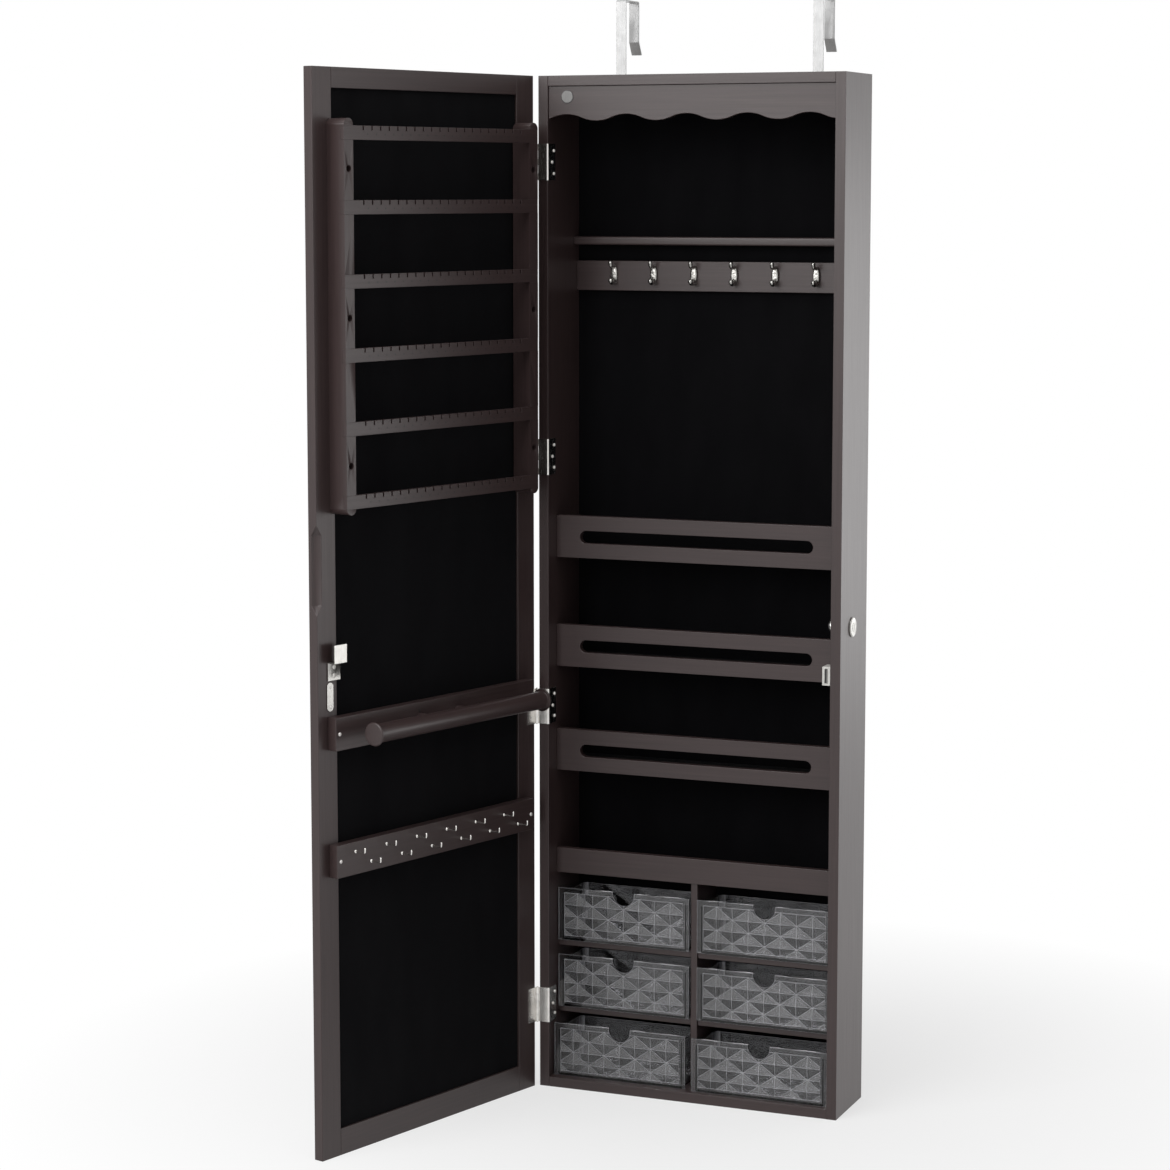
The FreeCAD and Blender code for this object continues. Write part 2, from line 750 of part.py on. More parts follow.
def tray():
    """The open tray behind the front plate, with rounded back corners."""
    width = number(f"{DRAWER_WIDTH} - 2 * tray_inset")
    depth = number(f"{DRAWER_FRONT} - {INSIDE_BACK} - drawer_back_gap - drawer_front_thickness")
    tall, wall, corner = number("tray_tall"), number("tray_wall"), number("tray_corner")
    start = Vector(number("tray_inset"), number("drawer_front_thickness"), 0)
    outside = Part.makeBox(width, depth, tall, start)
    inside = Part.makeBox(width - 2 * wall, depth - wall, tall,
                          start + Vector(wall, 0, number("tray_floor")))

    def round_back(shape, radius):
        back = shape.BoundBox.YMax
        edges = [edge for edge in shape.Edges
                 if runs_along(edge, Vector(0, 0, 1)) and edge.BoundBox.YMin > back - 0.001]
        return shape.makeFillet(radius, edges)

    return round_back(outside, corner).cut(round_back(inside, corner - wall))


def make_drawers():
    drawer_shape = drawer_front().fuse(tray()).removeSplitter()
    rows = ("bottom", "middle", "top")
    starts = {
        "left": f"(-{INSIDE} + drawer_wall_gap)",
        "right": "(divider_thickness / 2 + drawer_divider_gap)",
    }
    for side, x in starts.items():
        for level, row in enumerate(rows):
            drawer = doc.addObject("Part::Feature", f"drawer_{row}_{side}")
            drawer.Label = f"drawer_{row}_{side}"
            drawer.Shape = drawer_shape.copy()
            pulled = f" - {side}_pull_out" if row == "bottom" else ""
            place(drawer, x, f"-{DRAWER_FRONT}{pulled}",
                  f"board + {level} * {DRAWER_STEP} + drawer_floor_gap")


# ---------------------------------------------------------------- the door
def make_stile(name, edge, outward):
    """A stile; edge is the u of its outer edge and outward is -1 where the inside lies at +u."""
    body = new_body(name)
    outline = new_sketch(body, "XY_Plane")
    draw_rectangle(outline, "0" if outward < 0 else "-stile_width", "-door_thickness",
                   "stile_width", "door_thickness")
    pad(body, outline, "cabinet_height")
    rebate = new_sketch(body, "XZ_Plane", "door_thickness")
    start = "stile_width - door_rebate" if outward < 0 else "-stile_width"
    draw_rectangle(rebate, start, "bottom_rail_tall - door_rebate", "door_rebate",
                   "cabinet_height - top_rail_tall - bottom_rail_tall + 2 * door_rebate")
    pocket(body, rebate, f"door_thickness - {LIP}")
    place_on_door(body, edge)
    return body


def make_free_stile():
    """The stile on the lock's side, with a finger cove cut along its inner corner."""
    body = make_stile("door_free_stile", DOOR_WIDTH, 1)
    cove = new_sketch(body, "XZ_Plane")
    foot = f"({LOCK_HEIGHT} + pull_rise)"
    draw_polygon(cove, [
        ("0", foot),
        ("0", f"{foot} + pull_length"),
        ("-pull_radius", f"{foot} + pull_length - pull_point"),
        ("-pull_radius", f"{foot} + pull_point"),
    ])
    revolve(body, cove, "V_Axis", "Groove")


def make_door_rail(name, height, tall, rebate_at):
    """A rail between the stiles, with its rebate along the edge that faces the mirror."""
    body = new_body(name)
    outline = new_sketch(body, "YZ_Plane")
    edge = tall if rebate_at > 0 else "0"
    step = f"{tall} - door_rebate" if rebate_at > 0 else "door_rebate"
    far = "0" if rebate_at > 0 else tall
    draw_polygon(outline, [
        ("0", edge),
        (f"-{LIP}", edge),
        (f"-{LIP}", step),
        ("-door_thickness", step),
        ("-door_thickness", far),
        ("0", far),
    ])
    pad(body, outline, f"{DOOR_WIDTH} - 2 * stile_width")
    place_on_door(body, "stile_width", "0", height)


def make_door_panels():
    """The mirror, its backing board and the lining, from the outer face inwards."""
    width = f"{DOOR_WIDTH} - 2 * (stile_width - door_rebate)"
    tall = "cabinet_height - top_rail_tall - bottom_rail_tall + 2 * door_rebate"
    mirror = block("mirror", width, "mirror_thickness", tall)
    place_on_door(mirror, "stile_width - door_rebate", "mirror_recess - door_thickness",
                  "bottom_rail_tall - door_rebate")
    backing = block("door_backing", width, "backing_thickness", tall)
    place_on_door(backing, "stile_width - door_rebate", f"-{LIP} - backing_thickness",
                  "bottom_rail_tall - door_rebate")
    lining = block("door_lining", f"{DOOR_WIDTH} - 2 * stile_width", "lining_thickness",
                   "cabinet_height - top_rail_tall - bottom_rail_tall")
    place_on_door(lining, "stile_width", f"-{LIP}", "bottom_rail_tall")


# ---------------------------------------------------------------- the earring rack
def make_uprights():
    body = new_body("rack_upright")
    outline = new_sketch(body, "XZ_Plane")
    draw_slot(outline, "upright_width / 2", "upright_tall / 2", "upright_tall", "upright_width",
              upright=True)
    pad(body, outline, "upright_depth", backwards=True)
    lap = new_sketch(body, "XZ_Plane", "-upright_depth")
    draw_rectangle(lap, "-fit", "bar_first", "upright_width + 2 * fit", "bar_tall")
    cut = pocket(body, lap, "bar_thickness", backwards=True)
    repeat(body, cut, lap, "V_Axis", BAR_SPACING, "bar_count")
    bores = new_sketch(body, "XZ_Plane", "-upright_depth")
    for step in range(3):
        draw_circle(bores, "upright_width / 2", f"counterbore_first + {step} * counterbore_spacing",
                    "counterbore_radius")
    pocket(body, bores, "counterbore_depth", backwards=True)
    far_side = number(f"{DOOR_WIDTH} - 2 * rack_inset - upright_width")
    pair = [body.Shape.copy(), moved(body.Shape, far_side, 0, 0)]
    place_on_door(group("rack_uprights", pair), "rack_inset", "0", RACK_BOTTOM)


def make_earring_bar(step):
    body = new_body(f"earring_bar_{step + 1}")
    outline = new_sketch(body, "XZ_Plane")
    length = f"({DOOR_WIDTH} - 2 * rack_inset)"
    draw_rectangle(outline, "0", "0", length, "bar_tall")
    pad(body, outline, "bar_thickness", backwards=True)
    notch = new_sketch(body, "XZ_Plane")
    first = f"({length} - (earring_notch_count - 1) * earring_notch_spacing - earring_notch_width) / 2"
    draw_rectangle(notch, first, "bar_tall - earring_notch_depth", "earring_notch_width",
                   "earring_notch_depth")
    cut = pocket(body, notch, "bar_thickness")
    repeat(body, cut, notch, "H_Axis", "earring_notch_spacing", "earring_notch_count")
    place_on_door(body, "rack_inset", "upright_depth - bar_thickness",
                  f"{RACK_BOTTOM} + bar_first + {step} * {BAR_SPACING}")


def make_rack():
    make_uprights()
    for step in range(int(number("bar_count"))):
        make_earring_bar(step)


# ---------------------------------------------------------------- rod, boards and small hooks
def make_door_board(name, height):
    board = block(name, f"{DOOR_WIDTH} - 2 * door_board_inset", "door_board_thickness",
                  "door_board_tall")
    place_on_door(board, "door_board_inset", "0", height)


def make_rod():
    body = new_body("scarf_rod")
    outline = new_sketch(body, "XY_Plane")
    length = f"({DOOR_WIDTH} - 2 * rod_inset)"
    draw_polygon(outline, [
        ("0", "0"),
        ("0", "rod_cap_radius - rod_cap_bevel"),
        ("rod_cap_bevel", "rod_cap_radius"),
        ("rod_cap_length", "rod_cap_radius"),
        ("rod_cap_length", "rod_radius"),
        (f"{length} - rod_cap_length", "rod_radius"),
        (f"{length} - rod_cap_length", "rod_cap_radius"),
        (f"{length} - rod_cap_bevel", "rod_cap_radius"),
        (length, "rod_cap_radius - rod_cap_bevel"),
        (length, "0"),
    ])
    revolve(body, outline, "H_Axis")
    place_on_door(body, "rod_inset", "rod_standoff", f"{ROD_BOARD} + door_board_tall / 2 + rod_rise")


def make_rod_posts():
    """Two short posts from the board to the rod, each end hollowed to the rod's round."""
    base, reach = number("door_board_thickness"), number("rod_standoff")
    rod = Part.makeCylinder(number("rod_radius"), number(DOOR_WIDTH), Vector(0, reach, 0), Vector(1, 0, 0))
    posts = []
    for way in (-0.5, 0.5):
        u = number(f"{DOOR_WIDTH} / 2") + way * number("post_spread")
        post = Part.makeCylinder(number("post_radius"), reach - base, Vector(u, base, 0), Vector(0, 1, 0))
        posts.append(post.cut(rod))
    place_on_door(group("rod_posts", posts), "0", "0", f"{ROD_BOARD} + door_board_tall / 2 + rod_rise")


def small_hook():
    """A square-bend hook: a collar, a straight shank and an upturned end, in eight flats."""
    radius, bend = number("small_hook_radius"), number("small_hook_bend")
    reach, upturn = number("small_hook_reach"), number("small_hook_upturn")
    turn = reach - radius - bend
    wire = bent_bar([Vector(), Vector(0, turn, 0), Vector(0, turn + bend, bend),
                     Vector(0, turn + bend, upturn)], [radius] * 4)
    collar = bent_bar([Vector(), Vector(0, number("small_collar_length"), 0)],
                      [number("small_collar_radius")] * 2)
    return wire.fuse(collar).removeSplitter()


def make_small_hooks():
    hook = small_hook()
    count = int(number("small_hook_count"))
    hooks = []
    for step in range(count):
        u = number(f"{DOOR_WIDTH} / 2") + ((count - 1) / 2 - step) * number("small_hook_spacing")
        z = number("small_hook_stagger") * (0.5 if step % 2 == 0 else -0.5)
        hooks.append(moved(hook, u, 0, z))
    place_on_door(group("small_hooks", hooks), "0", "door_board_thickness",
                  f"{HOOK_BOARD} + door_board_tall / 2")


# ---------------------------------------------------------------- hinges
def hinge_leaf(name, plate, tab_y, knuckles):
    """A hinge leaf round an axis at its own origin: a bent plate and some of five knuckles."""
    body = new_body(name)
    outline = new_sketch(body, "XY_Plane")
    draw_polygon(outline, plate)
    pad(body, outline, "hinge_tall")
    for knuckle in knuckles:
        lift = f"{knuckle} * {KNUCKLE_PITCH} + knuckle_gap / 2"
        length = f"{KNUCKLE_PITCH} - knuckle_gap"
        tab = new_sketch(body, "XY_Plane", lift)
        draw_rectangle(tab, "0", tab_y, CLEAR_OF_BARREL, "leaf_thickness")
        pad(body, tab, length)
        ring = new_sketch(body, "XY_Plane", lift)
        draw_circle(ring, "0", "0", "barrel_radius")
        pad(body, ring, length)
    bore = new_sketch(body, "XY_Plane")
    draw_circle(bore, "0", "0", "hinge_pin_radius + fit")
    pocket(body, bore, "hinge_tall", backwards=True)
    return body


def make_frame_leaves():
    inner, outer = "(door_gap / 2 - leaf_thickness)", "(door_gap / 2)"
    wall = "(axis_outset + board)"
    end = "(door_gap / 2 + frame_leaf_reach)"
    leaf = hinge_leaf("frame_leaf", [
        (CLEAR_OF_BARREL, inner),
        (f"{wall} + leaf_thickness", inner),
        (f"{wall} + leaf_thickness", end),
        (wall, end),
        (wall, outer),
        (CLEAR_OF_BARREL, outer),
    ], inner, (0, 2, 4))
    leaves = [moved(leaf.Shape, 0, 0, number(f"{height} - hinge_tall / 2")) for height in HINGE_HEIGHTS]
    place(group("hinge_frame_leaves", leaves), AXIS_X, AXIS_Y)


def make_door_leaves():
    face, inner = "(-door_gap / 2)", "(leaf_thickness - door_gap / 2)"
    end = f"({DOOR_EDGE} + door_leaf_width)"
    leaf = hinge_leaf("door_leaf", [
        (CLEAR_OF_BARREL, face),
        (end, face),
        (end, inner),
        (CLEAR_OF_BARREL, inner),
    ], face, (1, 3))
    leaves = [moved(leaf.Shape, 0, 0, number(f"{height} - hinge_tall / 2")) for height in HINGE_HEIGHTS]
    place_on_door(group("hinge_door_leaves", leaves), f"-{DOOR_EDGE}", "door_gap / 2")


def make_hinge_pins():
    pin = new_body("hinge_pin")
    outline = new_sketch(pin, "XY_Plane", "-pin_proud")
    draw_circle(outline, "0", "0", "hinge_pin_radius")
    pad(pin, outline, "hinge_tall + 2 * pin_proud")
    pins = [moved(pin.Shape, 0, 0, number(f"{height} - hinge_tall / 2")) for height in HINGE_HEIGHTS]
    place(group("hinge_pins", pins), AXIS_X, AXIS_Y)


# ---------------------------------------------------------------- lock, keeper and catch
def make_lock_housing():
    body = new_body("lock_housing")
    outline = new_sketch(body, "XY_Plane")
    bore = "plug_radius + fit"
    draw_polygon(outline, [
        ("flange_thickness", bore),
        ("flange_thickness", "flange_radius - 1"),
        ("flange_thickness - 1", "flange_radius"),
        ("0", "flange_radius"),
        ("0", "lock_barrel_radius"),
        ("-barrel_length", "lock_barrel_radius"),
        ("-barrel_length", bore),
    ])
    revolve(body, outline, "H_Axis")
    place(body, "cabinet_width / 2", LOCK_Y, LOCK_HEIGHT)


def make_lock_nut():
    hexagon = doc.addObject("Part::Prism", "nut_hexagon")
    hexagon.Polygon = 6
    bind(hexagon, "Circumradius", "nut_radius")
    bind(hexagon, "Height", "nut_thickness")
    bore = doc.addObject("Part::Cylinder", "nut_bore")
    bind(bore, "Radius", "lock_barrel_radius + fit")
    bind(bore, "Height", "nut_thickness")
    nut = doc.addObject("Part::Cut", "lock_nut")
    nut.Label = "lock_nut"
    nut.Base = hexagon
    nut.Tool = bore
    nut.Placement.Rotation = FreeCAD.Rotation(Vector(0, 1, 0), -90)
    place(nut, INSIDE, LOCK_Y, LOCK_HEIGHT)


def make_lock_plug():
    body = new_body("lock_plug")
    outline = new_sketch(body, "YZ_Plane")
    draw_circle(outline, "0", "0", "plug_radius")
    length = "flange_thickness + plug_proud + barrel_length + 2 * fit"
    pad(body, outline, length, backwards=True)
    keyhole = new_sketch(body, "YZ_Plane")
    draw_rectangle(keyhole, "-keyhole_width / 2", "-keyhole_tall / 2", "keyhole_width", "keyhole_tall")
    pocket(body, keyhole, "keyhole_depth")
    place(body, "cabinet_width / 2 + flange_thickness + plug_proud", LOCK_Y, LOCK_HEIGHT)


def make_lock_cam():
    """The cam with its screw, unlocked: the arm points up. Turned forward, it locks the door.

    The arm stands off to one side of the hub, so that locked it passes over the keeper's lip
    and its hook comes down behind the lip."""
    lip_top = "(keeper_base_tall + keeper_lip_tall - keeper_drop)"
    low = f"({lip_top} + cam_clearance)"
    high = f"({low} + cam_strap)"
    hook = "(lock_setback + door_gap - keeper_standoff + cam_hook_gap)"
    tip = f"({hook} + cam_hook)"
    half_hub = "(cam_hub_radius / 2)"
    body = new_body("lock_cam")
    hub = new_sketch(body, "YZ_Plane")
    draw_circle(hub, "0", "0", "cam_hub_radius")
    pad(body, hub, "cam_thickness", backwards=True)
    arm = new_sketch(body, "YZ_Plane")
    draw_polygon(arm, [
        ("0", f"-{half_hub}"),
        (high, f"-{half_hub}"),
        (high, tip),
        ("cam_clearance", tip),
        ("cam_clearance", hook),
        (low, hook),
        (low, half_hub),
        ("0", half_hub),
    ])
    pad(body, arm, "cam_thickness", backwards=True)
    head = new_sketch(body, "YZ_Plane", "-cam_thickness")
    draw_circle(head, "0", "0", "cam_screw_radius")
    pad(body, head, "cam_screw_thickness", backwards=True)
    place(body, "cabinet_width / 2 - barrel_length - 2 * fit", LOCK_Y, LOCK_HEIGHT)


def make_keeper():
    """A bent strip: a base plate on the door, and a lip that stands off above it."""
    body = new_body("keeper")
    outline = new_sketch(body, "YZ_Plane")
    top = "(keeper_base_tall + keeper_lip_tall)"
    out = "(keeper_standoff + keeper_sheet)"
    draw_polygon(outline, [
        ("0", "0"),
        ("keeper_sheet", "0"),
        ("keeper_sheet", "keeper_base_tall - keeper_sheet"),
        (out, "keeper_base_tall - keeper_sheet"),
        (out, top),
        ("keeper_standoff", top),
        ("keeper_standoff", "keeper_base_tall"),
        ("0", "keeper_base_tall"),
    ])
    pad(body, outline, "keeper_width")
    place_on_door(body, f"{DOOR_WIDTH} - keeper_inset - keeper_width", "0",
                  KEEPER_HEIGHT)


def make_strike_plate():
    body = new_body("strike_plate")
    outline = new_sketch(body, "XZ_Plane")
    draw_slot(outline, "strike_width / 2", "strike_tall / 2", "strike_tall", "strike_width", upright=True)
    pad(body, outline, "strike_thickness", backwards=True)
    place_on_door(body, f"{DOOR_WIDTH} - strike_inset - strike_width", "0",
                  STRIKE_HEIGHT)


def make_magnet_catch():
    body = new_body("magnet_catch")
    outline = new_sketch(body, "XZ_Plane")
    draw_rectangle(outline, "-catch_width", "0", "catch_width", "catch_tall")
    pad(body, outline, "catch_depth")
    slot = new_sketch(body, "XZ_Plane", "catch_depth")
    draw_rectangle(slot, "-(catch_width + catch_slot_width) / 2", "catch_width / 4",
                   "catch_slot_width", "catch_tall - catch_width / 2")
    pocket(body, slot, "catch_slot_depth")
    place(body, INSIDE, "-(cabinet_depth + catch_proud - catch_depth)", CATCH_HEIGHT)


# ---------------------------------------------------------------- hangers
def make_hanger(name, side):
    body = new_body(name)
    outline = new_sketch(body, "YZ_Plane")
    top = "(hanger_overlap + hanger_rise)"
    knee = f"({top} - hanger_leg)"
    rear = "(hanger_sheet + hanger_gap)"
    outer = f"({rear} + hanger_sheet)"
    draw_polygon(outline, [
        ("0", "0"),
        ("hanger_sheet", "0"),
        ("hanger_sheet", f"{top} - hanger_sheet"),
        (rear, f"{top} - hanger_sheet"),
        (rear, knee),
        (f"{rear} + hanger_foot_out", f"{knee} - hanger_foot_down"),
        (f"{outer} + hanger_foot_out", f"{knee} - hanger_foot_down + 0.7"),
        (outer, f"{knee} + 0.7"),
        (outer, top),
        ("0", top),
    ])
    pad(body, outline, "hanger_width")
    across = Vector(1, 0, 0)
    peak, back = number(top), number(outer)
    soften(body, "hanger_bend", lambda edge: (
        runs_along(edge, across) and edge.BoundBox.ZMin > peak - 0.01
        and (edge.BoundBox.YMax < 0.01 or edge.BoundBox.YMin > back - 0.01)))
    place(body, f"{side} * hanger_spread / 2 - hanger_width / 2", "-hanger_sheet",
          "cabinet_height - hanger_overlap")


# ---------------------------------------------------------------- building and writing
def make_all():
    make_side_left()
    make_side_right()
    make_ends()
    make_back()
    make_valance()
    make_valance_disc()
    make_ledge()
    make_coat_board()
    make_coat_hooks()
    make_compartments()
    make_drawer_bay()
    make_drawers()
    make_stile("door_hinge_stile", "0", -1)
    make_free_stile()
    make_door_rail("door_top_rail", "cabinet_height - top_rail_tall", "top_rail_tall", -1)
    make_door_rail("door_bottom_rail", "0", "bottom_rail_tall", 1)
    make_door_panels()
    make_rack()
    make_door_board("rod_board", ROD_BOARD)
    make_rod()
    make_rod_posts()
    make_door_board("small_hook_board", HOOK_BOARD)
    make_small_hooks()
    make_frame_leaves()
    make_door_leaves()
    make_hinge_pins()
    make_keeper()
    make_strike_plate()
    make_magnet_catch()
    make_lock_housing()
    make_lock_nut()
    make_lock_plug()
    make_lock_cam()
    make_hanger("hanger_left", "-1")
    make_hanger("hanger_right", "1")


make_all()
doc.recompute()

for item in doc.Objects:
    if "Invalid" in item.State or "Error" in item.State:
        raise ValueError(f"{item.Label} failed: {item.State}")
for piece in pieces:
    if piece.Shape.isNull() or not piece.Shape.isValid():
        raise ValueError(f"{piece.Label} has no valid shape")

os.makedirs("parts", exist_ok=True)
for piece in pieces:
    piece.Shape.exportStep(f"parts/{piece.Label}.step")
print(len(pieces), "sub-parts written")
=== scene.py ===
"""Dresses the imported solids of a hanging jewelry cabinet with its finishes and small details.

Everything is in metres, in the solids' own frame: x to the right, y to the wall behind the
cabinet, z up. Each operator makes one group of pieces; main() calls them in order.
"""
import json
import math

import bmesh
import bpy
from bpy.props import FloatProperty, FloatVectorProperty, PointerProperty
from mathutils import Matrix, Vector

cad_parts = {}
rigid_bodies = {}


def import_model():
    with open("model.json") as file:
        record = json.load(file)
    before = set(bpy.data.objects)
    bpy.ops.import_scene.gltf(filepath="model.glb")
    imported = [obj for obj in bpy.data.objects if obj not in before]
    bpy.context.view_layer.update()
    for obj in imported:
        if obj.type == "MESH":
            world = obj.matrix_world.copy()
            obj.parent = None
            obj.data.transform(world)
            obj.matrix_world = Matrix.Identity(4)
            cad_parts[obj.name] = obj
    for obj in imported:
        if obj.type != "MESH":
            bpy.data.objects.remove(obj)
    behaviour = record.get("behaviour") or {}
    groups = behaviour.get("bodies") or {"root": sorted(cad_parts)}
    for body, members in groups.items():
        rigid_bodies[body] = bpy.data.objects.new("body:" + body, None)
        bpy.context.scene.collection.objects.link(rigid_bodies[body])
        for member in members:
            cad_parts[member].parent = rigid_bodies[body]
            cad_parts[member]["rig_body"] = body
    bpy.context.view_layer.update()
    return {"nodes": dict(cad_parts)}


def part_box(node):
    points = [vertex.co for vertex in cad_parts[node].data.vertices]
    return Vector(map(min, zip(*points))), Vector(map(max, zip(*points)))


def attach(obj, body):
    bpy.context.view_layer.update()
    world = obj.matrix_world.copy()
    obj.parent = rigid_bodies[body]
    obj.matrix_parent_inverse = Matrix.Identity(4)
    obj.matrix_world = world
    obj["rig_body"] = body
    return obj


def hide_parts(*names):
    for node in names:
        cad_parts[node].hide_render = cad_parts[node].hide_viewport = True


bl_info = {
    "name": "Jewelry mirror cabinet",
    "version": (1, 0, 0),
    "blender": (4, 5, 0),
    "location": "View3D > Sidebar > Cabinet",
    "description": "Finishes, screws, hooks, drawers and studio for a hanging jewelry cabinet",
    "category": "Object",
}

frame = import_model()
NODES = frame["nodes"]

MM = 0.001
DOOR_ANGLE = math.radians(106.2)
CASE_FOOT = -0.6
HINGE_HEIGHTS = (1.101, 0.758, 0.462, 0.1)
DOOR_MIDDLE = 185.4 * MM
BOARD_FACE = 0.012
CASE_WALL = 0.1731

EARRING_BARS = range(1, 7)
EARRING_DOTS = 19
EARRING_DOT_SPACING = 13.9 * MM
EARRING_DOT_HEIGHT = 6.2 * MM
EARRING_BAR_FACE = 0.025
CLEAR_OF_FACE = 0.00003

COAT_HOOKS = 6
COAT_HOOK_SPACING = 50.2 * MM
SMALL_HOOKS = 12
SMALL_HOOK_SPACING = 25.5 * MM
SMALL_HOOK_STAGGER = 7.5 * MM

KEEPER_FOOT = 0.5368
KEEPER_BASE_TALL = 0.0212

SENSOR_WIDTH = 36.0


# ---------------------------------------------------------------- settings
def colour(name, description, default):
    """A colour property, in linear light."""
    return FloatVectorProperty(name=name, description=description, default=default,
                               subtype="COLOR", size=3, min=0.0, max=1.0)


def length(name, description, default):
    """A length property, in metres."""
    return FloatProperty(name=name, description=description, default=default,
                         unit="LENGTH", subtype="DISTANCE", precision=5)


class CabinetColours(bpy.types.PropertyGroup):
    wood: colour("Wood", "Lacquered board in the light grain", (0.046, 0.0295, 0.0290))
    wood_dark: colour("Wood, dark grain", "Lacquered board in the dark grain",
                      (0.031, 0.0195, 0.0190))
    velvet: colour("Velvet", "Lining at the foot of its pile", (0.0022, 0.0021, 0.0026))
    velvet_tip: colour("Velvet tip", "Lining where its pile lies over", (0.0046, 0.0044, 0.0052))
    nickel: colour("Nickel", "Bright plating of hooks and screws", (0.78, 0.76, 0.73))
    cast: colour("Cast nickel", "Cast plating of the coat hooks", (0.42, 0.41, 0.39))
    steel: colour("Steel", "Brushed sheet steel of the lock and keeper", (0.46, 0.45, 0.43))
    hanger: colour("Hanger", "Plated strip of the hangers", (0.43, 0.43, 0.43))
    disc: colour("Disc", "Satin disc on the valance", (0.17, 0.168, 0.165))
    acrylic: colour("Acrylic", "Smoke tint of the drawers", (0.78, 0.78, 0.80))
    # facet: tint of the painted light on the drawer facets that look up
    facet: colour("Facet", "Acrylic facets that look up", (0.74, 0.74, 0.76))
    # edge: tint of the painted highlight on the drawers' rounded edges
    edge: colour("Edge", "Polished edges of the acrylic", (0.66, 0.66, 0.70))
    plastic: colour("Catch", "Moulded plastic of the magnetic catch", (0.62, 0.61, 0.58))
    # magnet: the catch's ferrite colour, also used as painted shade of holes on the dark screws and
    # the earring bars' dots
    magnet: colour("Magnet", "Ferrite, dark screws and the dots of the bars", (0.012, 0.011, 0.011))
    hardboard: colour("Hardboard", "Back panel and door backing", (0.10, 0.062, 0.040))
    mirror: colour("Mirror", "Silvered glass", (0.88, 0.90, 0.90))
    floor: colour("Floor", "Studio floor", (0.74, 0.74, 0.74))


class CabinetSizes(bpy.types.PropertyGroup):
    wood_round: length("Wood edge", "Rounding of a board's edges", 0.0006)
    metal_round: length("Metal edge", "Rounding of a sheet metal edge", 0.0002)
    acrylic_round: length("Acrylic edge", "Rounding of a drawer's edges", 0.0004)
    hinge_screw: length("Hinge screw", "Radius of a hinge screw's head", 0.0020)
    board_screw: length("Board screw", "Radius of a board screw's head", 0.0026)
    # earring dot: a flat dark disc of painted shade standing for a hole
    earring_dot_painted_shade: length("Earring dot", "Radius of a dark dot on an earring bar", 0.0010)
    leaf_bend: length("Leaf bend", "Outer radius where a hinge leaf turns the corner", 0.0023)
    arm: length("Hook arm", "Radius of a coat hook's arm", 0.0023)
    wire: length("Small hook", "Radius of a small hook's wire", 0.0010)


class CabinetStudio(bpy.types.PropertyGroup):
    camera_place: FloatVectorProperty(name="Camera", description="Where the camera stands",
                                      default=(1.2153, -3.382, 0.469),
                                      subtype="TRANSLATION", unit="LENGTH")
    camera_yaw: FloatProperty(name="Yaw", description="Camera's turn to the left of straight ahead",
                              default=math.radians(22.245), subtype="ANGLE")
    camera_pitch: FloatProperty(name="Pitch", description="Camera's tilt downwards",
                                default=math.radians(6.728), subtype="ANGLE")
    camera_lens: FloatProperty(name="Lens", description="Focal length on a 36 mm sensor",
                               default=93.909, unit="CAMERA")
    camera_rise: FloatProperty(name="Rise", default=-0.03,
                               description="Vertical shift of the lens, in frame widths")
    floor_width: length("Floor", "Width of the studio floor", 16.0)
    daylight: FloatProperty(name="Daylight", description="Strength of the even light of the room",
                            default=0.37, min=0.0)
    key_power: FloatProperty(name="Key", description="Power of the large lamp at the front left",
                             default=72.0, unit="POWER", min=0.0)
    side_power: FloatProperty(name="Side", description="Power of the large lamp at the back right",
                              default=23.0, unit="POWER", min=0.0)
    top_power: FloatProperty(name="Top", description="Power of the lamp overhead",
                             default=26.0, unit="POWER", min=0.0)


def colours():
    return bpy.context.scene.cabinet_colours


def sizes():
    return bpy.context.scene.cabinet_sizes


def studio():
    return bpy.context.scene.cabinet_studio


